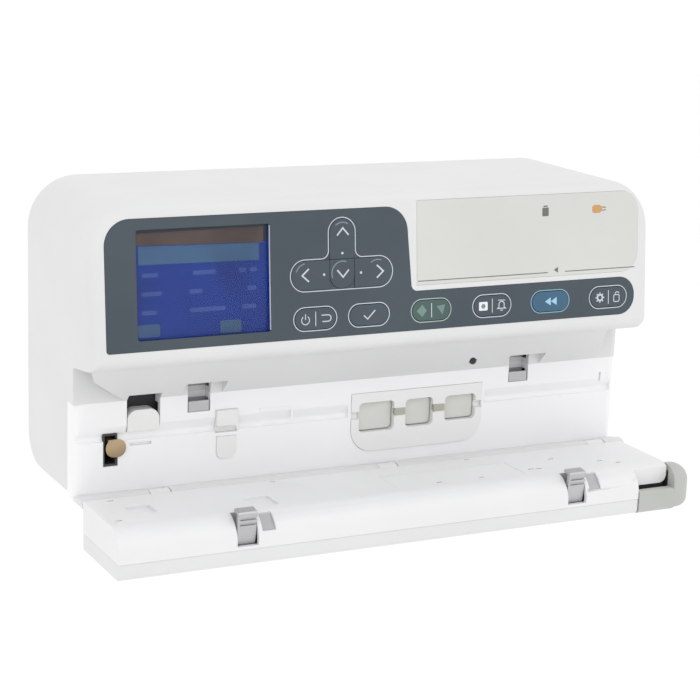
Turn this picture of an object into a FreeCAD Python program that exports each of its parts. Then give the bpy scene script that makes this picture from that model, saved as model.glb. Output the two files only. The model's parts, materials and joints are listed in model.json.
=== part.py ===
"""Large-volume infusion pump with a fold-down door, held on a pole by its rear clamp.

Frame: X runs along the pump to its right, Y runs back towards the pole, Z is up. The origin is on the
pole's axis at half the height of the casing. Millimetres. The door stands open in the rest position.
"""

import FreeCAD, Part
import math
import os
import re

import Sketcher
from FreeCAD import Placement, Rotation, Vector

doc = FreeCAD.newDocument("infusion_pump")

# ------------------------------------------------------------------ driving dimensions

DIMENSIONS = {
    "case_width": (295.4, "casing, side to side"),
    "case_height": (140.4, "casing, base to top"),
    "case_depth": (95, "casing, panel datum to back"),
    "pole_gap": (34, "back of the casing to the pole's axis"),
    "pole_radius": (12.5, "pole that the clamp holds"),
    "wall": (2.5, "casing wall"),
    "corner_radius": (24, "upper corners of the casing"),
    "edge_radius": (5.5, "rounding round the head's face"),
    "back_radius": (4, "rounding round the casing's back"),
    "heel_radius": (18, "lower rear edge of the casing"),
    "face_tilt": (5.36, "lean of the head's face, degrees"),
    "panel_low": (74.3, "base to the panel's lower edge"),
    "panel_inset": (6.9, "casing side to the panel's left end"),
    "panel_length": (279.1, "dark panel, lower edge"),
    "panel_height": (59.3, "dark panel, upper block"),
    "strip_height": (18.7, "dark panel, right strip"),
    "block_length": (150.7, "dark panel, upper block"),
    "rim_drop": (8, "panel's lower edge to the head's rim"),
    "wedge_top": (66.9, "base to the underside beside the wedge"),
    "band_top": (45.3, "base to the top of the tube wall"),
    "wall_setback": (25.3, "panel datum back to the tube wall"),
    "tray_depth": (8, "depth of the tube wall's tray"),
    "tube_height": (27.3, "base to the tube's centre line"),
    "door_thick": (22.8, "door, inner to outer face"),
    "door_rise": (3.8, "base up to the open door's inner face"),
    "door_heel": (11.2, "panel datum back to the open door's heel"),
    "door_reach": (36, "panel datum forward to the open door's lip"),
    "door_parting": (15, "inner face to the door shells' parting line"),
    "lip_radius": (12, "rounding of the door's lip"),
    "hinge_setback": (18, "panel datum back to the hinge axis"),
    "hinge_drop": (2.7, "base down to the hinge axis"),
    "hinge_pin_radius": (2, "door hinge pin"),
    "door_short": (4.3, "casing side to the door's right end"),
    "handle_length": (23.8, "latch handle, left end to the casing's side"),
    "handle_proud": (8.5, "latch handle beyond the casing's side"),
    "shaft_radius": (3, "latch shaft"),
    "hook_lean": (8, "forward lean of the released hooks, degrees"),
    "screen_width": (64.8, "visible screen"),
    "screen_height": (48.6, "visible screen"),
    "key_height": (9.8, "pill keys"),
    "key_gap": (0.3, "gap round a pill key"),
    "arrow_gap": (0.12, "gap round the arrow keys"),
    "key_proud": (0.5, "keys above the panel"),
    "cam_radius": (7, "pump cams"),
    "cam_throw": (1, "pump cams' eccentricity"),
    "cam_shaft_radius": (3, "camshaft journals"),
    "running_gap": (0.05, "radial clearance of a running fit"),
    "gear_module": (1, "drive gears"),
    "screw_radius": (5, "pole clamp screw"),
}

sheet = doc.addObject("Spreadsheet::Sheet", "Dims")
for row, (alias, (size, note)) in enumerate(DIMENSIONS.items(), 1):
    sheet.set(f"A{row}", note)
    sheet.set(f"B{row}", str(size))
    sheet.setAlias(f"B{row}", alias)
doc.recompute()

FACE_Y = "(-pole_gap - case_depth)"
BACK_Y = "(-pole_gap)"
BASE_Z = "(-case_height / 2)"
TOP_Z = "(case_height / 2)"
LEFT_X = "(-case_width / 2)"
RIGHT_X = "(case_width / 2)"
PANEL_X = "(-case_width / 2 + panel_inset)"
PANEL_Z = "(panel_low - case_height / 2)"
WALL_Y = "(-pole_gap - case_depth + wall_setback)"
SEAM_Y = "(-pole_gap - case_depth + wall_setback + tray_depth)"
BAND_Z = "(band_top - case_height / 2)"
TUBE_Z = "(tube_height - case_height / 2)"
HINGE_Y = "(-pole_gap - case_depth + hinge_setback)"
HINGE_Z = "(-case_height / 2 - hinge_drop)"
DOOR_IN = "(-case_height / 2 + door_rise)"
DOOR_OUT = "(-case_height / 2 + door_rise - door_thick)"
DOOR_PART = "(-case_height / 2 + door_rise - door_parting)"
DOOR_HEEL = "(-pole_gap - case_depth + door_heel)"
DOOR_LIP = "(-pole_gap - case_depth - door_reach)"
SHAFT_Y = "(-pole_gap - case_depth - door_reach + lip_radius)"
SHAFT_Z = "(-case_height / 2 + door_rise - lip_radius)"
HANDLE_X = "(case_width / 2 - handle_length)"
DOOR_END = "(case_width / 2 - door_short)"


def bound(text):
    """The expression with each alias written as a cell of the sheet."""
    return re.sub(r"[a-z_]+", lambda m: f"Dims.{m[0]}" if m[0] in DIMENSIONS else m[0], str(text))


def number(text):
    """What the expression comes to."""
    return float(sheet.evalExpression(bound(text)))


# ------------------------------------------------------------------ ways of making a piece

counter = {}


def fresh(kind):
    counter[kind] = counter.get(kind, 0) + 1
    return f"{kind}_{counter[kind]}"


def bind(item, prop, text):
    item.setExpression(prop, bound(text))


def block(x, y, z):
    """A box between two expressions on each axis."""
    box = doc.addObject("Part::Box", fresh("block"))
    for axis, size, (low, high) in (("x", "Length", x), ("y", "Width", y), ("z", "Height", z)):
        bind(box, f"Placement.Base.{axis}", low)
        bind(box, size, f"({high}) - ({low})")
    return box


TURN = {"x": Rotation(Vector(0, 1, 0), 90), "y": Rotation(Vector(1, 0, 0), -90), "z": Rotation()}


def rod(radius, start, length, axis):
    """A cylinder from start, running along +axis."""
    item = doc.addObject("Part::Cylinder", fresh("rod"))
    item.Placement = Placement(Vector(), TURN[axis])
    for side, place in zip("xyz", start):
        bind(item, f"Placement.Base.{side}", place)
    bind(item, "Radius", radius)
    bind(item, "Height", length)
    return item


def cone(radius, end_radius, start, length, axis):
    """A tapered rod from start, running along +axis."""
    item = doc.addObject("Part::Cone", fresh("cone"))
    item.Placement = Placement(Vector(), TURN[axis])
    for side, place in zip("xyz", start):
        bind(item, f"Placement.Base.{side}", place)
    bind(item, "Radius1", radius)
    bind(item, "Radius2", end_radius)
    bind(item, "Height", length)
    return item


def outline_sketch(body, plane, points, offset):
    """A closed sketch through points, each a pair of expressions, on one of the body's planes."""
    sketch = body.newObject("Sketcher::SketchObject", fresh("outline"))
    support = [f for f in body.Origin.OriginFeatures if f.Role == plane][0]
    sketch.AttachmentSupport = [(support, "")]
    sketch.MapMode = "FlatFace"
    bind(sketch, "AttachmentOffset.Base.z", offset)
    corners = [(number(a), number(b)) for a, b in points]
    count = len(corners)
    for i in range(count):
        start, end = corners[i], corners[(i + 1) % count]
        sketch.addGeometry(Part.LineSegment(Vector(*start, 0), Vector(*end, 0)), False)
    for i in range(count):
        sketch.addConstraint(Sketcher.Constraint("Coincident", i, 2, (i + 1) % count, 1))
    for i, point in enumerate(points):
        for kind, text, place in zip(("DistanceX", "DistanceY"), point, corners[i]):
            index = sketch.addConstraint(Sketcher.Constraint(kind, -1, 1, i, 1, place))
            sketch.setExpression(f"Constraints[{index}]", bound(text))
    return sketch


def prism(plane, points, low, high):
    """A PartDesign body: an outline padded between two heights above one of its planes."""
    body = doc.addObject("PartDesign::Body", fresh("body"))
    sketch = outline_sketch(body, plane, points, low)
    pad = body.newObject("PartDesign::Pad", fresh("pad"))
    pad.Profile = sketch
    bind(pad, "Length", f"({high}) - ({low})")
    doc.recompute()
    return body


def box_outline(a, b):
    return [(a[0], b[0]), (a[1], b[0]), (a[1], b[1]), (a[0], b[1])]


def round_edges(body, radius, chosen):
    """Fillets the edges of the body's tip that chosen(edge) picks."""
    tip = body.Tip
    names = [f"Edge{i}" for i, edge in enumerate(tip.Shape.Edges, 1) if chosen(edge)]
    if not names:
        raise ValueError(f"no edge to round on {tip.Name}")
    fillet = body.newObject("PartDesign::Fillet", fresh("fillet"))
    fillet.Base = (tip, names)
    bind(fillet, "Radius", radius)
    doc.recompute()
    return body


def runs_along(edge, axis):
    """Whether a straight edge lies along an axis, given as a Vector."""
    if edge.Curve.TypeId != "Part::GeomLine":
        return False
    ends = [v.Point for v in edge.Vertexes]
    return abs((ends[1] - ends[0]).normalize().dot(axis)) > 0.9999


X_AXIS, Y_AXIS, Z_AXIS = Vector(1, 0, 0), Vector(0, 1, 0), Vector(0, 0, 1)


def near(a, b, reach=0.05):
    return abs(a - b) < reach


def joined(parts):
    if len(parts) == 1:
        return parts[0]
    fuse = doc.addObject("Part::MultiFuse", fresh("joined"))
    fuse.Shapes = parts
    return fuse


def cut(base, *tools):
    item = doc.addObject("Part::Cut", fresh("cut"))
    item.Base = base
    item.Tool = joined(list(tools))
    return item


def common(base, tool):
    item = doc.addObject("Part::Common", fresh("common"))
    item.Base = base
    item.Tool = tool
    return item


def group(parts):
    """Separate solids kept together in one node."""
    item = doc.addObject("Part::Compound", fresh("group"))
    item.Links = parts
    return item


nodes = {}


def node(name, item):
    item.Label = name
    nodes[name] = item
    return item


def on_panel(item):
    """Places an item drawn in the panel's frame: x along it, y up it, z out of it."""
    item.Placement = Placement(Vector(), Rotation(Vector(1, 0, 0), number("90 - face_tilt")))
    for side, place in zip("xyz", (PANEL_X, FACE_Y, PANEL_Z)):
        bind(item, f"Placement.Base.{side}", place)
    bind(item, "Placement.Rotation.Angle", "(90 - face_tilt) * 1 deg")
    return item


def slab(u, v, w, radius=None, corners="all"):
    """A plate in the panel's frame with rounded corners: all, or those of one side."""
    body = prism("XY_Plane", box_outline(u, v), w[0], w[1])
    if radius is not None:
        centre = [(number(a) + number(b)) / 2 for a, b in (u, v)]
        side = {
            "all": lambda p: True,
            "top": lambda p: p.y > centre[1],
            "bottom": lambda p: p.y < centre[1],
            "left": lambda p: p.x < centre[0],
            "right": lambda p: p.x > centre[0],
        }[corners]
        round_edges(body, radius, lambda e: runs_along(e, Z_AXIS) and side(e.CenterOfMass))
    return body


# ------------------------------------------------------------------ keys: places on the panel

KEY_LOW = "(9.1 - key_height / 2)"
KEY_TOP = "(9.1 + key_height / 2)"
PILL_KEYS = {
    "key_power": (91.5, 112.4),
    "key_ok": (119.7, 140.0),
    "key_start": (152.9, 173.3),
    "key_stop": (186.5, 206.7),
    "key_bolus": (219.4, 240.1),
    "key_menu": (253.2, 274.0),
}
ARM_V = (22.5, 36.1)
ARROW_KEYS = {
    "key_up": ((109.6, 122.3), (36.26, 54.9), "top"),
    "key_down": ((109.6, 122.3), (22.5, 36.14), "bottom"),
    "key_left": ((90.1, 109.48), ARM_V, "left"),
    "key_right": ((122.42, 141.8), ARM_V, "right"),
}
ARROW_RADIUS = 6.3
CAP_DEPTH = 2.7
FLANGE = 0.8


def grown(span, by):
    return (f"{span[0]} - ({by})", f"{span[1]} + ({by})")


def pill_span(name):
    low, high = PILL_KEYS[name]
    return (str(low), str(high)), (KEY_LOW, KEY_TOP)


def key_holes():
    """The openings for every key, as tools in the panel's frame."""
    tools = []
    deep = ("-6", "3")
    for name in PILL_KEYS:
        u, v = pill_span(name)
        tools.append(slab(grown(u, "key_gap"), grown(v, "key_gap"), deep, "key_height / 2 + key_gap - 0.02"))
    for u, v, side in ARROW_KEYS.values():
        tools.append(slab(grown(u, "arrow_gap"), grown(v, "arrow_gap"), deep, ARROW_RADIUS, side))
    return [on_panel(tool) for tool in tools]


def make_keys():
    for name in PILL_KEYS:
        u, v = pill_span(name)
        cap = slab(u, v, (f"-{CAP_DEPTH}", "key_proud"), "key_height / 2 - 0.02")
        flange = slab(grown(u, FLANGE), grown(v, FLANGE), (f"-{CAP_DEPTH} - {FLANGE}", f"-{CAP_DEPTH}"),
                      "key_height / 2")
        node(name, on_panel(joined([cap, flange])))
    for name, (u, v, side) in ARROW_KEYS.items():
        cap = slab(u, v, (f"-{CAP_DEPTH}", "key_proud"), ARROW_RADIUS, side)
        low = (f"-{CAP_DEPTH} - {FLANGE}", f"-{CAP_DEPTH}")
        middle = [(u[0] + u[1]) / 2, (v[0] + v[1]) / 2]
        if side in ("top", "bottom"):
            edge = v[1] if side == "top" else v[0]
            foot = slab((middle[0] - 3, middle[0] + 3), (edge - 2.5, edge + 1) if side == "top"
                        else (edge - 1, edge + 2.5), low)
        else:
            edge = u[1] if side == "right" else u[0]
            foot = slab((edge - 2.5, edge + 1) if side == "right" else (edge - 1, edge + 2.5),
                        (middle[1] - 3, middle[1] + 3), low)
        node(name, on_panel(joined([cap, foot])))


# ------------------------------------------------------------------ casing

SCREEN_U = ("14.7", "14.7 + screen_width")
SCREEN_V = ("4.7", "5.7 + screen_height")


def panel_outline(margin):
    """The dark panel's outline: a block with a strip running on to the right."""
    grow = margin
    return [
        (f"-({grow})", f"-({grow})"),
        (f"panel_length + {grow}", f"-({grow})"),
        (f"panel_length + {grow}", f"strip_height + {grow}"),
        (f"block_length + 2 + {grow}", f"strip_height + {grow}"),
        (f"block_length - 1 + {grow}", f"panel_height + {grow}"),
        (f"-({grow})", f"panel_height + {grow}"),
    ]


def panel_plate(low, high, margin="0"):
    body = prism("XY_Plane", panel_outline(margin), low, high)
    spots = {
        "bottom_left": ("0", "0", 1.6),
        "strip_low": ("panel_length", "0", 9),
        "strip_high": ("panel_length", "strip_height", 9),
        "step": ("block_length + 2", "strip_height", 3),
        "block_right": ("block_length - 1", "panel_height", 12),
        "block_left": ("0", "panel_height", 12),
    }
    for u, v, radius in spots.values():
        at = number(u), number(v)
        round_edges(body, str(radius), lambda e: runs_along(e, Z_AXIS)
                    and near(e.CenterOfMass.x, at[0], 1) and near(e.CenterOfMass.y, at[1], 1))
    return body


LABEL_U = ("155.6", "281")
LABEL_V = ("21.4", "61.6")


def pad_more(body, plane, points, low, high):
    """Adds another padded outline to a body."""
    sketch = outline_sketch(body, plane, points, low)
    pad = body.newObject("PartDesign::Pad", fresh("pad"))
    pad.Profile = sketch
    bind(pad, "Length", f"({high}) - ({low})")
    doc.recompute()
    return body


def head_body(inset):
    """The head as a solid without its wedge, every face drawn in by inset (an expression)."""
    lean = "tan(face_tilt)"
    front = f"({FACE_Y} + ({inset}) / cos(face_tilt))"
    rim_z = f"({PANEL_Z} - rim_drop + ({inset}))"
    top_z = f"({TOP_Z} - ({inset}))"
    head = prism("YZ_Plane", [
        (f"{front} + ({rim_z} - {PANEL_Z}) * {lean}", rim_z),
        (f"{front} + ({top_z} - {PANEL_Z}) * {lean}", top_z),
        (f"{SEAM_Y} + ({inset})", top_z),
        (f"{SEAM_Y} + ({inset})", f"{BAND_Z} + ({inset})"),
        (f"{WALL_Y} + ({inset})", f"{BAND_Z} + ({inset})"),
        (f"{WALL_Y} + ({inset})", f"{BASE_Z} + wedge_top - 4 + ({inset})"),
    ], f"{LEFT_X} + ({inset})", f"{RIGHT_X} - ({inset})")
    half = number(f"{RIGHT_X} - ({inset})")
    round_edges(head, f"corner_radius - ({inset})", lambda e: runs_along(e, Y_AXIS)
                and e.CenterOfMass.z > 0 and near(abs(e.CenterOfMass.x), half))
    low = number(f"{BASE_Z} + wedge_top - 4 + ({inset})")
    rim = number(rim_z)
    round_edges(head, f"6 - ({inset})", lambda e: near(e.CenterOfMass.x, half)
                and near(min(v.Z for v in e.Vertexes), low) and near(max(v.Z for v in e.Vertexes), rim))
    return head


def wedge_body(inset):
    """The wedge under the head: its slope from the side, and its splayed ends from above."""
    slope = prism("YZ_Plane", [
        (f"{FACE_Y} + 6.2 + 2.4 * ({inset})", f"{PANEL_Z} - rim_drop - 1 + ({inset})"),
        (f"{SEAM_Y} + ({inset})", f"{PANEL_Z} - rim_drop - 1 + ({inset})"),
        (f"{SEAM_Y} + ({inset})", f"{BAND_Z} + ({inset})"),
        (f"{WALL_Y} + ({inset})", f"{BAND_Z} + ({inset})"),
    ], LEFT_X, RIGHT_X)
    plan = prism("XY_Plane", [
        (f"{LEFT_X} + 24.9 + ({inset})", f"{SEAM_Y} + 1"),
        (f"{LEFT_X} + 24.9 + ({inset})", WALL_Y),
        (f"{LEFT_X} + 17 + ({inset})", f"{WALL_Y} - 5"),
        (f"{LEFT_X} + 5.4 + ({inset})", f"{WALL_Y} - 12.9"),
        (f"{LEFT_X} + 1.2 + ({inset})", f"{FACE_Y} + 5"),
        (f"{RIGHT_X} - 19.6 - ({inset})", f"{FACE_Y} + 5"),
        (f"{RIGHT_X} - 18.6 - ({inset})", f"{WALL_Y} - 15"),
        (f"{RIGHT_X} - 13.4 - ({inset})", f"{WALL_Y} - 5"),
        (f"{RIGHT_X} - 11 - ({inset})", WALL_Y),
        (f"{RIGHT_X} - 11 - ({inset})", f"{SEAM_Y} + 1"),
    ], f"{BAND_Z} - 1", f"{PANEL_Z}")
    elevation = prism("XZ_Plane", box_outline((LEFT_X, f"{RIGHT_X} - 11 - ({inset})"), (f"{BAND_Z} + ({inset})", PANEL_Z)),
                      f"-{SEAM_Y} - 2", f"-{FACE_Y} + 5")
    low = number(f"{BAND_Z} + ({inset})")
    round_edges(elevation, f"8 - ({inset})", lambda e: runs_along(e, Y_AXIS) and e.CenterOfMass.x > 0
                and near(e.CenterOfMass.z, low))
    return common(common(slope, plan), elevation)


def make_front_casing():
    """The head's shell: a leaning face, round upper corners and a sloped underside."""
    outer = head_body("0")
    tilt = math.radians(number("face_tilt"))
    normal = Vector(0, -math.cos(tilt), math.sin(tilt))
    datum = Vector(0, number(FACE_Y), number(PANEL_Z))
    round_edges(outer, "edge_radius", lambda e: all(abs((v.Point - datum).dot(normal)) < 0.01
                for v in e.Vertexes))
    recess = on_panel(panel_plate("-1", "3", "0.15"))
    label_recess = on_panel(slab(grown(LABEL_U, "0.1"), grown(LABEL_V, "0.1"), ("-0.8", "3"), 10, "right"))
    screen_hole = on_panel(slab(grown(SCREEN_U, "1.6"), grown(SCREEN_V, "1.6"), ("-6", "3")))
    shell = cut(joined([outer, wedge_body("0")]), joined([head_body("wall"), wedge_body("wall")]))
    lumps = [block((x - 11, x + 13.6), (f"{WALL_Y} - 14", f"{WALL_Y} + 2.5"), (BAND_Z, f"{BASE_Z} + 54.5")) for x in KEEPERS]
    shell = joined([shell, common(wedge_body("0"), joined(lumps))])
    notches = [block((x - 9.2, x + 11.8), (f"{WALL_Y} - 16", WALL_Y), (f"{BAND_Z} - 1", f"{BASE_Z} + 52.4")) for x in KEEPERS]
    corner = cut(block((f"{RIGHT_X} - 4", f"{RIGHT_X} + 1"), (f"{WALL_Y} - 1", f"{WALL_Y} + 4"),
                       (f"{BAND_Z} - 1", f"{BASE_Z} + wedge_top - 4")),
                 rod("4", (f"{RIGHT_X} - 4", f"{WALL_Y} + 4", f"{BAND_Z} - 2"), "40", "z"))
    open_ports = [keeper_port(x) for x in KEEPERS] + [cavity_port(), sensor_hole()]
    return node("front_casing", cut(shell, recess, label_recess, screen_hole, *key_holes(), *open_ports, *notches, corner))


def back_body(inset):
    """The rear casing as a solid, every face drawn in by inset."""
    body = prism("YZ_Plane", box_outline(
        (f"{SEAM_Y} - ({inset})", f"{BACK_Y} - ({inset})"),
        (f"{BASE_Z} + ({inset})", f"{TOP_Z} - ({inset})"),
    ), f"{LEFT_X} + ({inset})", f"{RIGHT_X} - ({inset})")
    back = number(f"{BACK_Y} - ({inset})")
    low = number(f"{BASE_Z} + ({inset})")
    round_edges(body, f"heel_radius - ({inset})", lambda e: runs_along(e, X_AXIS)
                and near(e.CenterOfMass.y, back) and near(e.CenterOfMass.z, low))
    round_edges(body, f"corner_radius - ({inset})", lambda e: runs_along(e, Y_AXIS)
                and e.CenterOfMass.z > 0)
    half = number(f"{RIGHT_X} - ({inset})")

    def on_rim(edge):
        """The chain that runs up the back's two sides and over its top."""
        if runs_along(edge, X_AXIS):
            return edge.CenterOfMass.z > 0 and near(edge.CenterOfMass.y, back)
        ends = [v.Point for v in edge.Vertexes]
        if all(near(p.y, back) for p in ends):
            return True
        return all(near(abs(p.x), half) for p in ends) and edge.CenterOfMass.z < 0 and any(
            near(p.z, low) for p in ends) and max(p.y for p in ends) > back - number("heel_radius") - 1

    return round_edges(body, f"back_radius - ({inset}) / 2", on_rim)


def make_rear_casing():
    """The rear shell, with its inlet, vents and screw holes."""
    shell = cut(back_body("0"), back_body("wall"))
    inlet = block((INLET_X[0], INLET_X[1]), (f"{BACK_Y} - 6", f"{BACK_Y} + 3"), (INLET_Z[0], INLET_Z[1]))
    port = block((PORT_X[0], PORT_X[1]), (f"{BACK_Y} - 6", f"{BACK_Y} + 3"), (PORT_Z[0], PORT_Z[1]))
    vents = [block((x - 1, x + 1), (f"{BACK_Y} - 6", f"{BACK_Y} + 3"), (-44, -24)) for x in VENTS_X]
    bolts = [rod("2.1", (x, f"{BACK_Y} - 6", z), "9", "y") for x, z in CLAMP_BOLTS]
    floor = block((f"{LEFT_X} + 8", f"{RIGHT_X} - 8"), (f"{SEAM_Y} - 2", f"{BACK_Y} - heel_radius - 2"),
                  (f"{BASE_Z} - 2", f"{BASE_Z} + wall + 1"))
    screws = [rod("1.45", (x, f"{BACK_Y} - 6", z), "9", "y") for x, z in CASE_SCREWS]
    heads = [rod("3.05", (x, f"{BACK_Y} - 1.2", z), "3", "y") for x, z in CASE_SCREWS]
    return node("rear_casing", cut(shell, inlet, port, floor, *vents, *bolts, *screws, *heads))


INLET_X = (98, 126)
INLET_Z = (-24, -4)
PORT_X = (-118, -100)
PORT_Z = (-50, -42)
CASE_SCREWS = [(x, z) for x in (-136, 136) for z in (-44, 34)]
VENTS_X = [-80 + 6 * i for i in range(9)]
CLAMP_BOLTS = [(-24, -24), (24, -24), (-24, 24), (24, 24)]

# ------------------------------------------------------------------ tube wall

KEEPERS = (-86, 88.2)
KEEPER_WIDE = 11.4
PORT_LOW = f"({BASE_Z} + 36.8)"
KEEPER_TOP = f"({BASE_Z} + 42)"
CAVITY_X = (-121.8, -105.4)
CAVITY_TOP = f"{BASE_Z} + 48.3"
CAVITY_LOW = f"{BASE_Z} + 30"
WINDOW_X = (-6.1, 67.4)
WINDOW_Z = (f"{BASE_Z} + 8.4", f"{BASE_Z} + 38.3")
OPENINGS = (((-1.8, 17.6), (f"{BASE_Z} + 18.4", f"{BASE_Z} + 33.3")),
            ((23.9, 39.3), (f"{BASE_Z} + 18.9", f"{BASE_Z} + 33.1")),
            ((46.1, 63.6), (f"{BASE_Z} + 20", f"{BASE_Z} + 32.9")))
CLAMP_X = (-133.2, -126)
CLAMP_Z = (f"{BASE_Z} + 14.5", f"{BASE_Z} + 30")
SENSOR_X = (-77.5, -66.2)
SENSOR_Z = (f"{BASE_Z} + 25.4", f"{BASE_Z} + 36.8")
STUB_Z = (f"{BASE_Z} + 12.6", f"{BASE_Z} + 23.8")
WALL_THICK = 3


def keeper(x):
    """A bent steel plate whose upper edge a latch claw drops behind."""
    lip = block((x - 5.2, x + 5.2), (f"{WALL_Y} + 0.3", f"{WALL_Y} + 1.2"), (f"{PORT_LOW} + 0.1", KEEPER_TOP))
    floor = block((x - 5.2, x + 5.2), (f"{WALL_Y} + 0.3", f"{WALL_Y} + 4.6"),
                  (f"{PORT_LOW} + 0.1", f"{PORT_LOW} + 1.3"))
    flange = block((x - 5.6, x + 5.6), (f"{WALL_Y} + 3.1", f"{WALL_Y} + 4.6"),
                   (f"{PORT_LOW} - 5", f"{PORT_LOW} + 1.3"))
    return joined([lip, floor, flange])


def keeper_port(x):
    """The opening that a latch hook enters."""
    return block((x - KEEPER_WIDE / 2, x + KEEPER_WIDE / 2), (f"{WALL_Y} - 16", f"{WALL_Y} + 6.8"),
                 (PORT_LOW, f"{BASE_Z} + 51.6"))


def cavity_port():
    return block(CAVITY_X, (f"{WALL_Y} - 14", f"{SEAM_Y} - 0.5"), (CAVITY_LOW, CAVITY_TOP))


def sensor_hole():
    """The small round hole in the wedge's slope, square to it."""
    hole = rod("2.1", (58, f"{WALL_Y} - 5.6", f"{BAND_Z} + 5.8"), "9", "z")
    hole.Placement.Rotation = Rotation(X_AXIS, -46.3)
    return joined([hole])


def guide_ridge():
    """A low stepped rib on the wall that leads the tube towards the pump window."""
    return prism("XZ_Plane", [(-54.8, f"{BASE_Z} + 34"), (-54.8, f"{BASE_Z} + 35.6"), (-37.4, f"{BASE_Z} + 35.2"),
                               (-37.4, f"{BASE_Z} + 29.6"), (-38.6, f"{BASE_Z} + 29.6"), (-38.6, f"{BASE_Z} + 33.8")],
                  f"-{WALL_Y}", f"-{WALL_Y} + 0.5")


def make_tube_wall():
    """The moulded tray that the infusion tube lies against."""
    tray = prism("YZ_Plane", box_outline((WALL_Y, SEAM_Y), (BASE_Z, BAND_Z)), LEFT_X, RIGHT_X)
    half = number(RIGHT_X)
    wall_y = number(WALL_Y)
    round_edges(tray, "edge_radius", lambda e: runs_along(e, Z_AXIS) and near(e.CenterOfMass.y, wall_y)
                and near(abs(e.CenterOfMass.x), half))
    hollow_back = block((f"{LEFT_X} + 4", f"{RIGHT_X} - 4"), (f"{WALL_Y} + {WALL_THICK}", f"{SEAM_Y} + 1"),
                        (f"{BASE_Z} + 4", f"{BAND_Z} - 3"))
    window = prism("XZ_Plane", box_outline(WINDOW_X, WINDOW_Z), f"-{WALL_Y} - {WALL_THICK} - 1", f"-{WALL_Y} + 1")
    low = number(WINDOW_Z[0])
    round_edges(window, "12", lambda e: runs_along(e, Y_AXIS) and near(e.CenterOfMass.z, low))
    groove = []
    for start, end, lift in (f"{LEFT_X} - 1", WINDOW_X[0] - 1.5, 1), (WINDOW_X[1] + 1.5, f"{RIGHT_X} - 3.4", 2):
        middle = f"{TUBE_Z} + {lift}"
        groove.append(rod("1.9", (start, f"{WALL_Y} + 0.1", middle), f"({end}) - ({start})", "x"))
        groove.append(prism("YZ_Plane", [(f"{WALL_Y} - 0.4", f"{middle} + 6"), (f"{WALL_Y} - 0.4", f"{middle} - 0.5"),
                                         (f"{WALL_Y} + 2", middle)], start, end))
    groove.append(block((-120.4, -109.6), (f"{WALL_Y} - 1", f"{WALL_Y} + 1.4"), (f"{BASE_Z} + 23.4", f"{BASE_Z} + 25")))
    groove.append(block((137.2, 138.3), (f"{WALL_Y} - 1", f"{WALL_Y} + 1.2"), (f"{BASE_Z} + 32.6", f"{BASE_Z} + 37.6")))
    clamp_hole = block(CLAMP_X, (f"{WALL_Y} - 1", f"{WALL_Y} + 4"), CLAMP_Z)
    sensor = block((SENSOR_X[0], SENSOR_X[1]), (f"{WALL_Y} - 1", f"{WALL_Y} + 4"), SENSOR_Z)
    stub = prism("XZ_Plane", box_outline((SENSOR_X[0] + 0.5, SENSOR_X[1] - 0.5), STUB_Z), f"-{WALL_Y} - 4", f"-{WALL_Y} + 1")
    stub_low = number(STUB_Z[0])
    round_edges(stub, "3.6", lambda e: runs_along(e, Y_AXIS) and near(e.CenterOfMass.z, stub_low))
    ports = [keeper_port(x) for x in KEEPERS] + [cavity_port()]
    shell = cut(tray, hollow_back, window, *groove, clamp_hole, sensor, stub, *ports)
    return node("tube_wall", joined([shell, guide_ridge()]))


def make_tube_wall_fittings():
    """What is set into the wall: pump window, sensors and the tube rest in the cavity."""
    window = prism("XZ_Plane", box_outline(grown(WINDOW_X, -0.1), grown(WINDOW_Z, "-0.1")),
                   f"-{WALL_Y} - {WALL_THICK} - 2", f"-{WALL_Y} + 0.55")
    low = number(f"{WINDOW_Z[0]} + 0.1")
    round_edges(window, "11.9", lambda e: runs_along(e, Y_AXIS) and near(e.CenterOfMass.z, low))
    openings = [rounded_plate(x, z, f"-{SEAM_Y} - 1", f"-{WALL_Y} + 1", 2.4) for x, z in OPENINGS]
    slot = rod("1.9", (WINDOW_X[0] - 1, f"{WALL_Y} + 0.1", TUBE_Z), f"{WINDOW_X[1] - WINDOW_X[0] + 2}", "x")
    node("pump_window", cut(window, *openings, slot))

    node("latch_keepers", group([keeper(x) for x in KEEPERS]))

    block_item = prism("YZ_Plane", box_outline((f"{WALL_Y} - 1.6", f"{WALL_Y} + 3.8"), grown(SENSOR_Z, "-0.1")),
                       SENSOR_X[0] + 0.1, SENSOR_X[1] - 0.1)
    round_edges(block_item, "0.8", lambda e: near(e.CenterOfMass.y, number(f"{WALL_Y} - 1.6")))
    slot = block((SENSOR_X[0] - 1, SENSOR_X[1] + 1), (f"{WALL_Y} - 2", f"{WALL_Y} + 1.9"),
                 (f"{TUBE_Z} - 1.9", f"{TUBE_Z} + 1.9"))
    node("air_sensor", cut(block_item, slot))

    pressure = prism("XZ_Plane", box_outline((SENSOR_X[0] + 0.6, SENSOR_X[1] - 0.6), grown(STUB_Z, "-0.1")),
                     f"-{WALL_Y} - 3.8", f"-{WALL_Y} + 0.5")
    low_z = number(f"{STUB_Z[0]} + 0.1")
    round_edges(pressure, "3.5", lambda e: runs_along(e, Y_AXIS) and near(e.CenterOfMass.z, low_z))
    node("pressure_sensor", pressure)

    rest = prism("XZ_Plane", box_outline(grown(CAVITY_X, -0.3), (f"{CAVITY_LOW} + 0.1", f"{CAVITY_LOW} + 10.5")),
                 f"-{SEAM_Y} + 0.6", f"-{WALL_Y} + 0.4")
    top_z = number(f"{CAVITY_LOW} + 10.5")
    round_edges(rest, "5", lambda e: runs_along(e, Y_AXIS) and near(e.CenterOfMass.z, top_z))
    node("tube_rest", rest)



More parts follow.
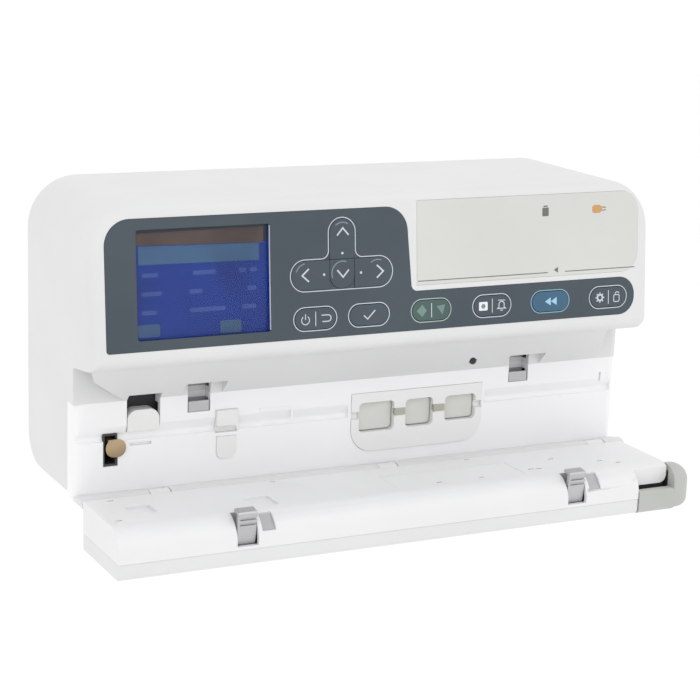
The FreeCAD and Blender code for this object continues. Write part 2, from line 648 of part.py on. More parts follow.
def make_flow_clamp():
    """The brass plunger that pinches the tube shut when the door opens."""
    x = (CLAMP_X[0] + CLAMP_X[1]) / 2
    mid_z = f"{BASE_Z} + 22.25"
    head = rounded_plate((x - 2.6, x + 7.2), (f"{mid_z} - 3.2", f"{mid_z} + 5.3"), f"-{WALL_Y} + 0.85", f"-{WALL_Y} + 1.9", 3.9)
    ball = doc.addObject("Part::Sphere", fresh("ball"))
    bind(ball, "Radius", "12")
    bind(ball, "Placement.Base.x", str(x + 2.3))
    bind(ball, "Placement.Base.y", f"{WALL_Y} - 1.9 + 12")
    bind(ball, "Placement.Base.z", f"{mid_z} + 1.05")
    head = common(head, ball)
    stem = block((x - 1.5, x + 1.5), (f"{WALL_Y} - 1.1", f"{WALL_Y} + 16"), (f"{mid_z} + 1.6", f"{mid_z} + 5.2"))
    node("flow_clamp_plunger", joined([head, stem]))
    lining = block(grown(CLAMP_X, -0.1), (f"{WALL_Y} + 0.6", f"{WALL_Y} + 7.2"), grown(CLAMP_Z, "-0.1"))
    well = block(grown(CLAMP_X, -1.1), (f"{WALL_Y} - 1", f"{WALL_Y} + 7.2"), grown(CLAMP_Z, "-1.1"))
    guide = block((x - 5, x + 5), (f"{WALL_Y} + 7.2", f"{WALL_Y} + 13"), (f"{mid_z} - 8", f"{mid_z} + 8.5"))
    bore = block((x - 1.55, x + 1.55), (f"{WALL_Y} + 6", f"{WALL_Y} + 14"), (f"{mid_z} + 1.55", f"{mid_z} + 5.25"))
    node("flow_clamp_guide", cut(joined([cut(lining, well), guide]), bore))


# ------------------------------------------------------------------ panel, screen and boards


def make_panel():
    screen = on_panel(slab(SCREEN_U, SCREEN_V, ("-4", "3"), 1.2))
    node("panel_overlay", cut(on_panel(panel_plate("-1", "0.1")), screen, *key_holes()))
    node("label_panel", on_panel(slab(LABEL_U, LABEL_V, ("-0.8", "0.05"), 9.9, "right")))
    node("screen_glass", on_panel(slab(grown(SCREEN_U, "1.4"), grown(SCREEN_V, "1.4"), ("-2.4", "-1.05"))))
    module = slab((8.6, 86.2), (1.9, 57.2), ("-8.6", "-2.7"))
    node("screen_module", on_panel(module))
    row_mat = slab((87.5, 278), (2.2, 17.2), ("-5.6", "-4.5"), 2)
    arrow_mat = slab((87.5, 146), (19.6, 58), ("-5.6", "-4.5"), 2)
    node("key_mats", on_panel(group([row_mat, arrow_mat])))
    node("key_board", on_panel(slab((87.5, 278), (1.4, 58), ("-7.4", "-5.8"))))


def make_boards():
    """Electronics, battery and speaker inside the rear casing."""
    board = block((-118, 96), (f"{BACK_Y} - 42", f"{BACK_Y} - 40.4"), (2, 62))
    chips = [block((x, x + 12), (f"{BACK_Y} - 40.4", f"{BACK_Y} - 38"), (z, z + 12))
             for x, z in ((-90, 20), (-40, 34), (10, 16), (50, 36))]
    node("main_board", joined([board, *chips]))
    node("battery_pack", rounded_block((-60, 40), (f"{BACK_Y} - 30", f"{BACK_Y} - 6"), (20, 62), 4))
    supply = block((44, 134), (f"{BACK_Y} - 36", f"{BACK_Y} - 20"), (4, 50))
    coils = [block((x, x + 18), (f"{BACK_Y} - 20", f"{BACK_Y} - 8"), (20, 40)) for x in (50, 74)]
    node("power_supply", joined([supply, *coils]))
    node("speaker", joined([rod("18", (-116, f"{BACK_Y} - 12", -20), "5", "y"),
                            rod("9", (-116, f"{BACK_Y} - 18", -20), "6", "y")]))
    body = block(grown(INLET_X, -0.2), (f"{BACK_Y} - 18", f"{BACK_Y} + 0.6"), grown(INLET_Z, "-0.2"))
    flange = block(grown(INLET_X, 4), (f"{BACK_Y}", f"{BACK_Y} + 1.8"), grown(INLET_Z, "1.6"))
    socket = block(grown(INLET_X, -2.2), (f"{BACK_Y} - 14", f"{BACK_Y} + 4"), grown(INLET_Z, "-2.2"))
    pins = [block((x - 1, x + 1), (f"{BACK_Y} - 15", f"{BACK_Y} - 4"), (z - 2, z + 2))
            for x, z in ((105, -16.5), (119, -16.5), (112, -11.5))]
    node("mains_inlet", joined([cut(joined([body, flange]), socket), *pins]))
    port = block(grown(PORT_X, -0.2), (f"{BACK_Y} - 8", f"{BACK_Y} + 0.8"), grown(PORT_Z, "-0.2"))
    port_well = block(grown(PORT_X, -2), (f"{BACK_Y} - 6", f"{BACK_Y} + 2"), grown(PORT_Z, "-1.6"))
    node("data_port", cut(port, port_well))


def rounded_plate(x, z, low, high, radius):
    """A plate seen from the front with four rounded corners, between two depths."""
    body = prism("XZ_Plane", box_outline(x, z), low, high)
    return round_edges(body, str(radius), lambda e: runs_along(e, Y_AXIS))


def rounded_block(x, y, z, radius):
    """A block with its edges along X rounded."""
    body = prism("YZ_Plane", box_outline(y, z), x[0], x[1])
    return round_edges(body, str(radius), lambda e: runs_along(e, X_AXIS))


# ------------------------------------------------------------------ pumping mechanism

CAM_Y = f"{WALL_Y} + 27"
CAM_Z = f"({BASE_Z} + 26.65)"
CAM_X = [(x[0] + x[1]) / 2 for x, z in OPENINGS]
PHASES = (0, 120, 240)
FINGER_NAMES = ("inlet_finger", "pumping_finger", "outlet_finger")
GEAR_TEETH = 30
PINION_TEETH = 12
GEAR_X = (76, 81)


def gear_shape(teeth, module, thick, bore, phase):
    """A spur gear about the X axis, its first tooth at phase degrees from +Y towards +Z."""
    pitch = teeth * module / 2
    levels = ((pitch - 1.25 * module, 0.56), (pitch - 0.5 * module, 0.50), (pitch, 0.42), (pitch + 0.9 * module, 0.22))
    step = 2 * math.pi / teeth
    ring = []
    for i in range(teeth):
        middle = math.radians(phase) + i * step
        for side in (-1, 1):
            for radius, share in levels if side < 0 else reversed(levels):
                angle = middle + side * share * step / 2
                ring.append(Vector(0, radius * math.cos(angle), radius * math.sin(angle)))
    face = Part.Face(Part.makePolygon(ring + ring[:1]))
    solid = face.extrude(Vector(thick, 0, 0))
    if bore:
        solid = solid.cut(Part.makeCylinder(bore, thick, Vector(), X_AXIS))
    return solid


def gear(teeth, start, thick, phase):
    item = doc.addObject("Part::Feature", fresh("gear"))
    item.Shape = gear_shape(teeth, number("gear_module"), number(thick), 0, phase)
    item.Placement = Placement(Vector(*[number(v) for v in start]), Rotation())
    return item


MOTOR_Y = f"({CAM_Y} + gear_module * {(GEAR_TEETH + PINION_TEETH) / 2})"


def make_drive():
    shaft = rod("cam_shaft_radius", (-12, CAM_Y, CAM_Z), "94", "x")
    lobes = []
    for x, phase in zip(CAM_X, PHASES):
        shift = (f"cam_throw * cos({phase})", f"cam_throw * sin({phase})")
        lobes.append(rod("cam_radius", (x - 5, f"{CAM_Y} + {shift[0]}", f"{CAM_Z} + {shift[1]}"), "10", "x"))
    wheel = gear(GEAR_TEETH, (GEAR_X[0], CAM_Y, CAM_Z), "5", 0)
    node("camshaft", joined([shaft, *lobes]))
    node("drive_gear", cut(wheel, rod("cam_shaft_radius", (GEAR_X[0] - 1, CAM_Y, CAM_Z), "7", "x")))

    tooth_turn = 180 / PINION_TEETH
    pinion = gear(PINION_TEETH, (GEAR_X[0], MOTOR_Y, CAM_Z), "5", 180 + tooth_turn)
    node("motor_pinion", joined([pinion, rod("1.5", (GEAR_X[0] - 1, MOTOR_Y, CAM_Z), "16", "x")]))
    can = rounded_motor()
    node("drive_motor", cut(can, rod("1.55", (GEAR_X[1] + 1, MOTOR_Y, CAM_Z), "12", "x")))

    plates = []
    for x in (-11, 70):
        plate = block((x, x + 2.5), (f"{WALL_Y} + {WALL_THICK}", f"{CAM_Y} + 9"), (f"{BASE_Z} + 12", f"{BASE_Z} + 41"))
        plates.append(cut(plate, rod("cam_shaft_radius + running_gap", (x - 1, CAM_Y, CAM_Z), "5", "x")))
    ties = [rod("2", (-11, f"{CAM_Y} + 6.5", z), "83.5", "x") for z in (f"{BASE_Z} + 15", f"{BASE_Z} + 38")]
    node("drive_frame", joined([*plates, *ties]))

    for name, ((low, high), z), x in zip(FINGER_NAMES, OPENINGS, CAM_X):
        shoe = rounded_plate((low + 0.3, high - 0.3), grown(z, "-0.3"), f"-{WALL_Y} - 7", f"-{WALL_Y} - 2.2", 2.1)
        stem = block((x - 3, x + 3), (f"{WALL_Y} + 7", f"{CAM_Y} - cam_radius - cam_throw - 0.3"),
                     (f"{CAM_Z} - 3", f"{CAM_Z} + 3"))
        node(name, joined([shoe, stem]))


def rounded_motor():
    body = prism("YZ_Plane", box_outline((f"{MOTOR_Y} - 14", f"{MOTOR_Y} + 14"), (f"{CAM_Z} - 14", f"{CAM_Z} + 14")),
                 GEAR_X[1] + 2, GEAR_X[1] + 36)
    return round_edges(body, "3", lambda e: runs_along(e, X_AXIS))


# ------------------------------------------------------------------ door hinge and base

STATIONS = (-124, -5, 116)
EYE = 4.6
EYE_WIDE = 10


def make_base():
    """The bottom cover, with the rounded hood that runs over the hinge."""
    plate = block((f"{LEFT_X} + 8.2", f"{RIGHT_X} - 8.2"), (f"{WALL_Y} + 8.2", f"{BACK_Y} - heel_radius - 2.2"),
                  (BASE_Z, f"{BASE_Z} + 2.5"))
    node("base_cover", plate)
    round_bar = rod("6.4", (LEFT_X, HINGE_Y, HINGE_Z), "case_width", "x")
    keep = block((f"{LEFT_X} - 1", f"{RIGHT_X} + 1"), (f"{HINGE_Y} - 8", f"{HINGE_Y} + 8"), (BASE_Z, f"{BASE_Z} + 8"))
    web = block((LEFT_X, RIGHT_X), (f"{HINGE_Y} + 4", WALL_Y), (BASE_Z, f"{BASE_Z} + 2.2"))
    slots = [block((x + EYE_WIDE + 0.1, x + 2 * EYE_WIDE + 0.7), (f"{HINGE_Y} - 9", f"{HINGE_Y} + 6.5"),
                   (f"{BASE_Z} - 1", f"{BASE_Z} + 9")) for x in STATIONS]
    slots += [rod(EYE + 0.3, (x - 0.3, HINGE_Y, HINGE_Z), str(EYE_WIDE + 0.6), "x") for x in STATIONS]
    node("hinge_hood", cut(joined([common(round_bar, keep), web]), *slots))


def make_hinge():
    fixed = []
    moving = []
    bore = "hinge_pin_radius"
    for x in STATIONS:
        eye = rod(EYE, (x, HINGE_Y, HINGE_Z), str(EYE_WIDE), "x")
        foot = block((x, x + EYE_WIDE), (HINGE_Y, f"{WALL_Y} + 12"), (f"{BASE_Z} - 2", BASE_Z))
        hole = rod(bore, (x - 1, HINGE_Y, HINGE_Z), str(EYE_WIDE + 2), "x")
        fixed.append(cut(joined([eye, foot]), hole))
        start = x + EYE_WIDE + 0.4
        eye = rod("6.2", (start, HINGE_Y, HINGE_Z), str(EYE_WIDE), "x")
        arm = block((start, start + EYE_WIDE), (DOOR_HEEL, HINGE_Y), (f"{HINGE_Z} - {EYE}", f"{HINGE_Z} + 1.5"))
        hole = rod("hinge_pin_radius + running_gap", (start - 1, HINGE_Y, HINGE_Z), str(EYE_WIDE + 2), "x")
        moving.append(cut(joined([eye, arm]), hole))
    node("hinge_brackets", group(fixed))
    node("door_knuckles", group(moving))
    node("hinge_pin", rod(bore, (f"{STATIONS[0]} - 2", HINGE_Y, HINGE_Z), str(STATIONS[-1] - STATIONS[0] + 25), "x"))


# ------------------------------------------------------------------ door and latch

DOOR_WALL = 2.2
PLATEN_X = (-3.5, 66)
PLATEN_Y = (f"{DOOR_LIP} + 15.5", f"{DOOR_LIP} + 34.5")
DOOR_MARKS = ((-135.8, -120.8), (-142, -148.8), (-69.8, -151.5), (-54.6, -119.4), (72.8, -144.7), (77.2, -145.3),
              (113.3, -144.2), (51.1, -119.4), (91.5, -133.3), (120.6, -149.9))
PLATEN_MARKS = (19.9, 43.2)


def door_section(inset):
    """The door's outline across its length, drawn in by inset, with square corners."""
    return box_outline((f"{DOOR_LIP} + ({inset})", f"{DOOR_HEEL} - ({inset})"),
                       (f"{DOOR_OUT} + ({inset})", f"{DOOR_IN} - ({inset})"))


def door_body(inset, start, end):
    body = prism("YZ_Plane", door_section(inset), f"{start} + ({inset})", f"{end} - ({inset})")
    lip = number(f"{DOOR_LIP} + ({inset})")
    inner = number(f"{DOOR_IN} - ({inset})")
    outer = number(f"{DOOR_OUT} + ({inset})")
    round_edges(body, f"lip_radius - ({inset})", lambda e: runs_along(e, X_AXIS)
                and near(e.CenterOfMass.y, lip) and near(e.CenterOfMass.z, inner))
    round_edges(body, "3", lambda e: runs_along(e, X_AXIS)
                and near(e.CenterOfMass.y, lip) and near(e.CenterOfMass.z, outer))
    return body


def door_layer(inset, low, high):
    slice_box = block((f"{LEFT_X} - 1", f"{RIGHT_X} + 1"), (f"{DOOR_LIP} - 1", f"{DOOR_HEEL} + 1"), (low, high))
    return common(door_body(inset, LEFT_X, DOOR_END), slice_box)


def handle_notch():
    """The corner of the door that gives way to the latch handle and its swing."""
    return prism("YZ_Plane", [
        (f"{DOOR_LIP} - 1", f"{DOOR_IN} + 1"),
        (f"{SHAFT_Y} - 6.2", f"{DOOR_IN} + 1"),
        (f"{SHAFT_Y} - 6.2", f"{SHAFT_Z} - 3"),
        (f"{SHAFT_Y} - 1.4", f"{DOOR_OUT} - 1"),
        (f"{DOOR_LIP} - 1", f"{DOOR_OUT} - 1"),
    ], f"{HANDLE_X} - 0.4", f"{RIGHT_X} + 5")


def door_pocket(x, z, depth):
    """A shallow recess in the liner that a raised piece of the tube wall enters when the door is shut."""
    shut = [f"{HINGE_Y} + {HINGE_Z} - ({edge})" for edge in (z[1], z[0])]
    return block(x, shut, (f"{DOOR_IN} - {depth}", f"{DOOR_IN} + 1"))


def make_door():
    """Two moulded shells, the spring-backed platen and the latch shaft's bearings."""
    hollow_in = door_body(str(DOOR_WALL), LEFT_X, DOOR_END)
    hook_slots = [block((x - 5.7, x + 4.7), (f"{DOOR_LIP} - 1", f"{SHAFT_Y} - 2"), (f"{SHAFT_Z} - 1.5", f"{DOOR_IN} + 2"))
                  for x in KEEPERS]
    dimples = [prism("YZ_Plane", [(f"{SHAFT_Y} - 11.2 * sin({a})", f"{SHAFT_Z} + 11.2 * cos({a})") for a in (22, 68)]
                     + [(f"{SHAFT_Y} - 14 * sin({a})", f"{SHAFT_Z} + 14 * cos({a})") for a in (70, 20)],
                     x + 6.8, x + 13.4) for x in KEEPERS]
    platen_hole = block(grown(PLATEN_X, 0.15), grown(PLATEN_Y, "0.15"), (f"{DOOR_IN} - 4", f"{DOOR_IN} + 2"))
    marks = [block((x - 1.5, x + 1.5), (y - 0.6, y + 0.6), (f"{DOOR_IN} - 0.8", f"{DOOR_IN} + 1")) for x, y in DOOR_MARKS]
    pockets = [door_pocket((-133.4, -121.2), (f"{BASE_Z} + 17.8", f"{BASE_Z} + 28.8"), "1.5"),
               door_pocket(grown(SENSOR_X, 0.8), grown(SENSOR_Z, "0.8"), "1.4")]
    inner = cut(door_layer("0", DOOR_PART, f"{DOOR_IN} + 1"), hollow_in, platen_hole, *hook_slots, *dimples,
                *marks, *pockets, handle_notch())
    front_wall = block((f"{HANDLE_X} - 0.4", DOOR_END), (f"{SHAFT_Y} - 6.2", f"{SHAFT_Y} - 4.2"),
                       (f"{SHAFT_Z} - 2.2", f"{DOOR_IN} - 2.4"))
    under_lip = prism("XZ_Plane", [
        (f"{HANDLE_X} - 0.4", f"{SHAFT_Z} - 4"), (f"{HANDLE_X} - 0.4", f"{SHAFT_Z} + 2"),
        (f"{DOOR_END} - 3", f"{SHAFT_Z} + 2"), (f"{DOOR_END} - 1", f"{SHAFT_Z} + 3"),
        (f"{DOOR_END} + 0.1", f"{SHAFT_Z} + 5.4"), (f"{DOOR_END} + 0.1", f"{SHAFT_Z} - 4"),
    ], f"-({SHAFT_Y}) + 4.2", f"-({SHAFT_Y}) + 7")
    side_wall = block((f"{HANDLE_X} - 2.6", f"{HANDLE_X} - 0.4"), (f"{DOOR_LIP} + 1.4", f"{SHAFT_Y} - 4.2"),
                      (DOOR_PART, f"{SHAFT_Z} + 7"))
    shaft_way = rod("shaft_radius + 0.6", (f"{HANDLE_X} - 4", SHAFT_Y, SHAFT_Z), "40", "x")
    node("door_liner", cut(joined([inner, front_wall, side_wall]), shaft_way, under_lip))
    outer = cut(door_layer("0", f"{DOOR_OUT} - 1", DOOR_PART), hollow_in, handle_notch())
    ramp = prism("YZ_Plane", [
        (f"{SHAFT_Y} - 6.2", DOOR_PART),
        (f"{SHAFT_Y} - 2", f"{DOOR_OUT}"),
        (f"{SHAFT_Y} + 1", f"{DOOR_OUT}"),
        (f"{SHAFT_Y} - 3.2", DOOR_PART),
    ], f"{HANDLE_X} - 0.4", DOOR_END)
    node("door_cover", joined([outer, ramp]))

    plate = block(PLATEN_X, PLATEN_Y, (f"{DOOR_IN} - 3", f"{DOOR_IN} - 0.05"))
    ticks = [block((x - 1.5, x + 1.5), (f"{PLATEN_Y[0]} + 1", f"{PLATEN_Y[0]} + 2.2"), (f"{DOOR_IN} - 0.8", f"{DOOR_IN} + 1"))
             for x in PLATEN_MARKS]
    node("platen", cut(plate, *ticks))
    node("platen_springs", group([coil(x, y) for x in (4, 31, 58) for y in (21, 29)]))
    blocks = []
    for x in (-120, -30, 40, 108):
        holder = block((x, x + 8), (f"{SHAFT_Y} - 5.5", f"{SHAFT_Y} + 6"), (f"{DOOR_OUT} + {DOOR_WALL}", f"{SHAFT_Z} + 5"))
        blocks.append(cut(holder, rod("shaft_radius + running_gap", (x - 1, SHAFT_Y, SHAFT_Z), "10", "x")))
    node("shaft_bearings", group(blocks))


def coil(x, y):
    """A coil spring's closed envelope between the door's cover and the platen."""
    floor = f"{DOOR_OUT} + {DOOR_WALL}"
    long = f"door_thick - {DOOR_WALL} - 3"
    place = (x, f"{DOOR_LIP} + {y}", floor)
    return cut(rod("2.4", place, long, "z"), rod("1.5", place, long, "z"))


def make_latch():
    """The shaft with its hooks and the handle at its right end, in the released position."""
    node("latch_shaft", rod("shaft_radius", (-124, SHAFT_Y, SHAFT_Z), f"{RIGHT_X} + 124", "x"))
    hooks = []
    for x in KEEPERS:
        hub = rod("5", (x - 5.2, SHAFT_Y, SHAFT_Z), "9.4", "x")
        web = prism("YZ_Plane", [leaned(a, b) for a, b in (
            (-2, -2), (-9.2, -1), (-9.2, 14.9), (-8.5, 15.6), (-3.6, 15.6), (-3.6, 14.2), (-7, 14.2), (-7, 8), (-2, 3))],
            str(x - 5.2), str(x + 4.2))
        slits = [prism("YZ_Plane", [leaned(a, b) for a, b in (
            (-11, low), (-8.2, low), (-8.2, low + 1.1), (-11, low + 1.1))], str(x - 4), str(x + 6)) for low in (9, 11.6)]
        hole = rod("shaft_radius", (x - 6, SHAFT_Y, SHAFT_Z), "12", "x")
        hooks.append(cut(joined([hub, web]), hole, *slits))
    node("latch_hooks", group(hooks))

    lip = (f"{DOOR_LIP} - 0.6", f"{SHAFT_Y} - 8.8")
    front = prism("YZ_Plane", box_outline(lip, (DOOR_OUT, f"{SHAFT_Z} + 0.8")), HANDLE_X, f"{DOOR_END} + 1.6")
    front_y = number(lip[0])
    round_edges(front, "3", lambda e: runs_along(e, X_AXIS) and near(e.CenterOfMass.y, front_y)
                and e.CenterOfMass.z < number(SHAFT_Z))
    round_edges(front, "1.5", lambda e: runs_along(e, X_AXIS) and near(e.CenterOfMass.y, front_y)
                and e.CenterOfMass.z > number(SHAFT_Z))
    tip = f"{RIGHT_X} + handle_proud"
    back = f"{SHAFT_Y} + 4.8"
    high = f"{SHAFT_Z} + 11"
    paddle = prism("XY_Plane", box_outline((f"{DOOR_END} + 1", tip), (lip[0], back)), DOOR_OUT, high)
    round_edges(paddle, "8.5", lambda e: runs_along(e, Z_AXIS) and e.CenterOfMass.x > number(DOOR_END) + 2)
    for level, radius in (high, "8.2"), (DOOR_OUT, "5"):
        level_z = number(level)
        round_edges(paddle, radius, lambda e: all(near(v.Z, level_z) for v in e.Vertexes)
                    and e.CenterOfMass.x > number(DOOR_END) + 1.2)
    shaft_end = rod("shaft_radius", (f"{HANDLE_X} - 1", SHAFT_Y, SHAFT_Z), "handle_length + 1", "x")
    node("latch_handle", cut(joined([front, paddle]), shaft_end))


def leaned(a, b):
    """A point beside the latch shaft, turned forward by the released hooks' lean."""
    return (f"{SHAFT_Y} + {a} * cos(hook_lean) - {b} * sin(hook_lean)",
            f"{SHAFT_Z} + {a} * sin(hook_lean) + {b} * cos(hook_lean)")


# ------------------------------------------------------------------ pole clamp

JAW_SPAN = (-28, 28)


def make_pole_clamp():
    """A C-shaped clamp: fixed seat by the casing, an arm round the pole and a screw behind it."""
    plate = block((-32, 32), (BACK_Y, f"{BACK_Y} + 7"), JAW_SPAN)
    seat = block((-20, 20), (f"{BACK_Y} + 6", "-4"), JAW_SPAN)
    arm = block((-32, -23), (f"{BACK_Y} + 6", "44"), (-16, 16))
    bridge = block((-32, 12), ("32", "44"), (-16, 16))
    pole = rod("pole_radius", (0, 0, -40), "80", "z")
    thread = rod("screw_radius + running_gap", (0, 30, 0), "16", "y")
    holes = [rod("2.1", (x, f"{BACK_Y} - 1", z), "12", "y") for x, z in CLAMP_BOLTS]
    node("clamp_body", cut(joined([plate, seat, arm, bridge]), pole, thread, *holes))
    bolts = []
    for x, z in CLAMP_BOLTS:
        bolts.append(joined([rod("2", (x, f"{BACK_Y} - 6", z), "13", "y"), rod("3.6", (x, f"{BACK_Y} + 7", z), "3", "y")]))
    node("clamp_bolts", group(bolts))
    jaw = block((-9, 9), ("pole_radius - 2.5", "pole_radius + 7"), (-14, 14))
    socket = rod("3.05", (0, "pole_radius + 2", 0), "8", "y")
    node("clamp_jaw", cut(jaw, rod("pole_radius + 0.1", (0, 0, -40), "80", "z"), socket))
    screw = joined([rod("3", (0, "pole_radius + 2.2", 0), "8", "y"), rod("screw_radius", (0, "pole_radius + 7.3", 0), "44", "y")])
    node("clamp_screw", screw)
    hub = rod("10", (0, "pole_radius + 45", 0), "14", "y")
    wings = [block((-26, 26), ("pole_radius + 47", "pole_radius + 57"), (-4, 4))]
    node("clamp_knob", cut(joined([hub, *wings]), rod("screw_radius", (0, "pole_radius + 44", 0), "7.3", "y")))


# ------------------------------------------------------------------ fastenings and feet


def make_fastenings():
    screws = []
    for x, z in CASE_SCREWS:
        head = rod("3", (x, f"{BACK_Y} - 1.2", z), "1.5", "y")
        screws.append(joined([head, rod("1.4", (x, f"{BACK_Y} - 12", z), "11", "y")]))
    node("case_screws", group(screws))
    feet = [cone("6.5", "7.5", (x, y, f"{BASE_Z} - 3"), "3", "z")
            for x in (-128, 128) for y in (f"{WALL_Y} + 21.5", f"{BACK_Y} - heel_radius - 10")]
    node("rubber_feet", group(feet))


make_front_casing()
make_rear_casing()
make_tube_wall()
make_tube_wall_fittings()
make_flow_clamp()
make_panel()
make_keys()
make_boards()
make_drive()
make_base()
make_hinge()
make_door()
make_latch()
make_pole_clamp()
make_fastenings()

doc.recompute()
failed = [o.Name for o in doc.Objects if "Invalid" in o.State or "Error" in o.State]
if failed:
    raise RuntimeError(f"objects that did not build: {failed}")
os.makedirs("parts", exist_ok=True)
for name, item in nodes.items():
    if item.Shape.isNull() or not item.Shape.isValid():
        raise RuntimeError(f"{name} has no valid shape")
for name, item in nodes.items():
    item.Shape.exportStep(f"parts/{name}.step")
print(len(nodes), "nodes")
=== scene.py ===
import json
import math

import bmesh
import bpy
from mathutils import Matrix, Vector


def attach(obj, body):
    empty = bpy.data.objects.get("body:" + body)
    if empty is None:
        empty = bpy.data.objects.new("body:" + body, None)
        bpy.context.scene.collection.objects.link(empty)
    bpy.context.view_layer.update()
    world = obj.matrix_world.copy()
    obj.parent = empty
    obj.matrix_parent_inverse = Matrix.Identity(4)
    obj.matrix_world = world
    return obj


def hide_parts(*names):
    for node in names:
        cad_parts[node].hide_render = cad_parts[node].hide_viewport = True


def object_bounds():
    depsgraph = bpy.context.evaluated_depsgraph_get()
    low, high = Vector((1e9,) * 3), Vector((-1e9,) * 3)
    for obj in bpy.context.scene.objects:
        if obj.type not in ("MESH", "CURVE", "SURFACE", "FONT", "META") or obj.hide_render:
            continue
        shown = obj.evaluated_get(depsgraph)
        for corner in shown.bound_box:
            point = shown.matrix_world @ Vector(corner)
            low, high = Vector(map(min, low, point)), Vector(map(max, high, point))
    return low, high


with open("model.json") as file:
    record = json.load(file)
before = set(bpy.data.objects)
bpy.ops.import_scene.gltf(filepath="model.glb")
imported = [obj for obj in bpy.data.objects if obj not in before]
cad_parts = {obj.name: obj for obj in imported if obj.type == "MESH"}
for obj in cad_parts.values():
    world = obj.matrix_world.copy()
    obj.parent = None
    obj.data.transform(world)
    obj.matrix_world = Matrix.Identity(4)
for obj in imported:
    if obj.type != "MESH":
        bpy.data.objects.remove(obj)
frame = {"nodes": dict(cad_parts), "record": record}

CAD_BOX = [list(corner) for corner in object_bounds()]
BODY = {node: body for body, members in frame["record"]["behaviour"]["bodies"].items() for node in members}
SLOT = {row["node"]: row["material_slot"] for row in frame["record"]["subparts"]}
MM = 0.001

# ---------------------------------------------------- materials

GRAIN_HEIGHT = 0.0002


class Graph:
    """A node tree being filled for one material."""

    def __init__(self, name):
        self.material = bpy.data.materials.new(name)
        self.material.use_nodes = True
        self.nodes = self.material.node_tree.nodes
        self.links = self.material.node_tree.links
        self.shader = self.nodes["Principled BSDF"]
        self.place = self.nodes.new("ShaderNodeTexCoord").outputs["Object"]

    def noise(self, scale, detail=2.0, roughness=0.5, stretch=None):
        """Noise in the piece's own space, squeezed by `stretch` along its axes."""
        node = self.nodes.new("ShaderNodeTexNoise")
        node.inputs["Scale"].default_value = scale
        node.inputs["Detail"].default_value = detail
        node.inputs["Roughness"].default_value = roughness
        place = self.place
        if stretch:
            mapping = self.nodes.new("ShaderNodeMapping")
            mapping.inputs["Scale"].default_value = stretch
            self.links.new(place, mapping.inputs["Vector"])
            place = mapping.outputs["Vector"]
        self.links.new(place, node.inputs["Vector"])
        return node.outputs["Fac"]

    def ramp(self, factor, stops):
        """A colour ramp with two stops."""
        node = self.nodes.new("ShaderNodeValToRGB")
        for element, (where, colour) in zip(node.color_ramp.elements, stops):
            element.position = where
            element.color = (*colour, 1)
        self.links.new(factor, node.inputs["Fac"])
        return node.outputs["Color"]

    def spread(self, factor, low, high):
        """The middle of a noise's range, spread over low to high."""
        node = self.nodes.new("ShaderNodeMapRange")
        node.inputs["From Min"].default_value = 0.3
        node.inputs["From Max"].default_value = 0.7
        node.inputs["To Min"].default_value = low
        node.inputs["To Max"].default_value = high
        self.links.new(factor, node.inputs["Value"])
        return node.outputs["Result"]

    def bump(self, height, strength, distance):
        """A fine relief on the shader's normal."""
        node = self.nodes.new("ShaderNodeBump")
        node.inputs["Strength"].default_value = strength
        node.inputs["Distance"].default_value = distance
        self.links.new(height, node.inputs["Height"])
        self.links.new(node.outputs["Normal"], self.shader.inputs["Normal"])

    def set(self, **values):
        """Constant values on the shader's own sockets."""
        for key, value in values.items():
            self.shader.inputs[key.replace("_", " ")].default_value = value


def shades(colour, drift):
    """A colour a little darker and a little lighter."""
    return [c * (1 - drift) for c in colour], [min(1, c * (1 + drift)) for c in colour]


def finish_of(name, colour, roughness, metallic=0.0, grain=900, depth=0.12, drift=0.04, stretch=None,
              rough_drift=0.02):
    """A surface with slow colour drift, uneven gloss and a fine grain."""
    g = Graph(name)
    dark, light = shades(colour, drift)
    g.links.new(g.ramp(g.noise(26, 3), [(0.35, dark), (0.65, light)]), g.shader.inputs["Base Color"])
    gloss = g.spread(g.noise(110, 4, stretch=stretch), max(0.02, roughness - rough_drift), roughness + rough_drift)
    g.links.new(gloss, g.shader.inputs["Roughness"])
    g.set(Metallic=metallic)
    g.bump(g.noise(grain, 2, 0.6, stretch), depth, GRAIN_HEIGHT)
    return g.material


def print_and_highlight_coat(name, colour, drift, roughness=0.5):
    """A thin coat of colour, for prints and for painted highlights and sheen."""
    return finish_of(name, colour, roughness, grain=2600, depth=0.05, drift=drift)


def glow(name, colour, strength, drift):
    """A lit part of the display, slightly uneven like a backlight."""
    g = Graph(name)
    dark, light = shades(colour, drift)
    tint = g.ramp(g.noise(38, 2), [(0.3, dark), (0.7, light)])
    g.links.new(tint, g.shader.inputs["Base Color"])
    g.links.new(tint, g.shader.inputs["Emission Color"])
    g.set(Roughness=0.4, Emission_Strength=strength)
    return g.material


def clear_glass(name, tint, alpha):
    """A faintly tinted glass, glossy and a little uneven."""
    g = Graph(name)
    paler = [c * 1.1 for c in tint]
    g.links.new(g.ramp(g.noise(40, 2), [(0.3, tint), (0.7, paler)]), g.shader.inputs["Base Color"])
    g.links.new(g.spread(g.noise(160, 3), 0.05, 0.12), g.shader.inputs["Roughness"])
    g.set(Alpha=alpha, IOR=1.45)
    g.material.surface_render_method = "BLENDED"
    return g.material


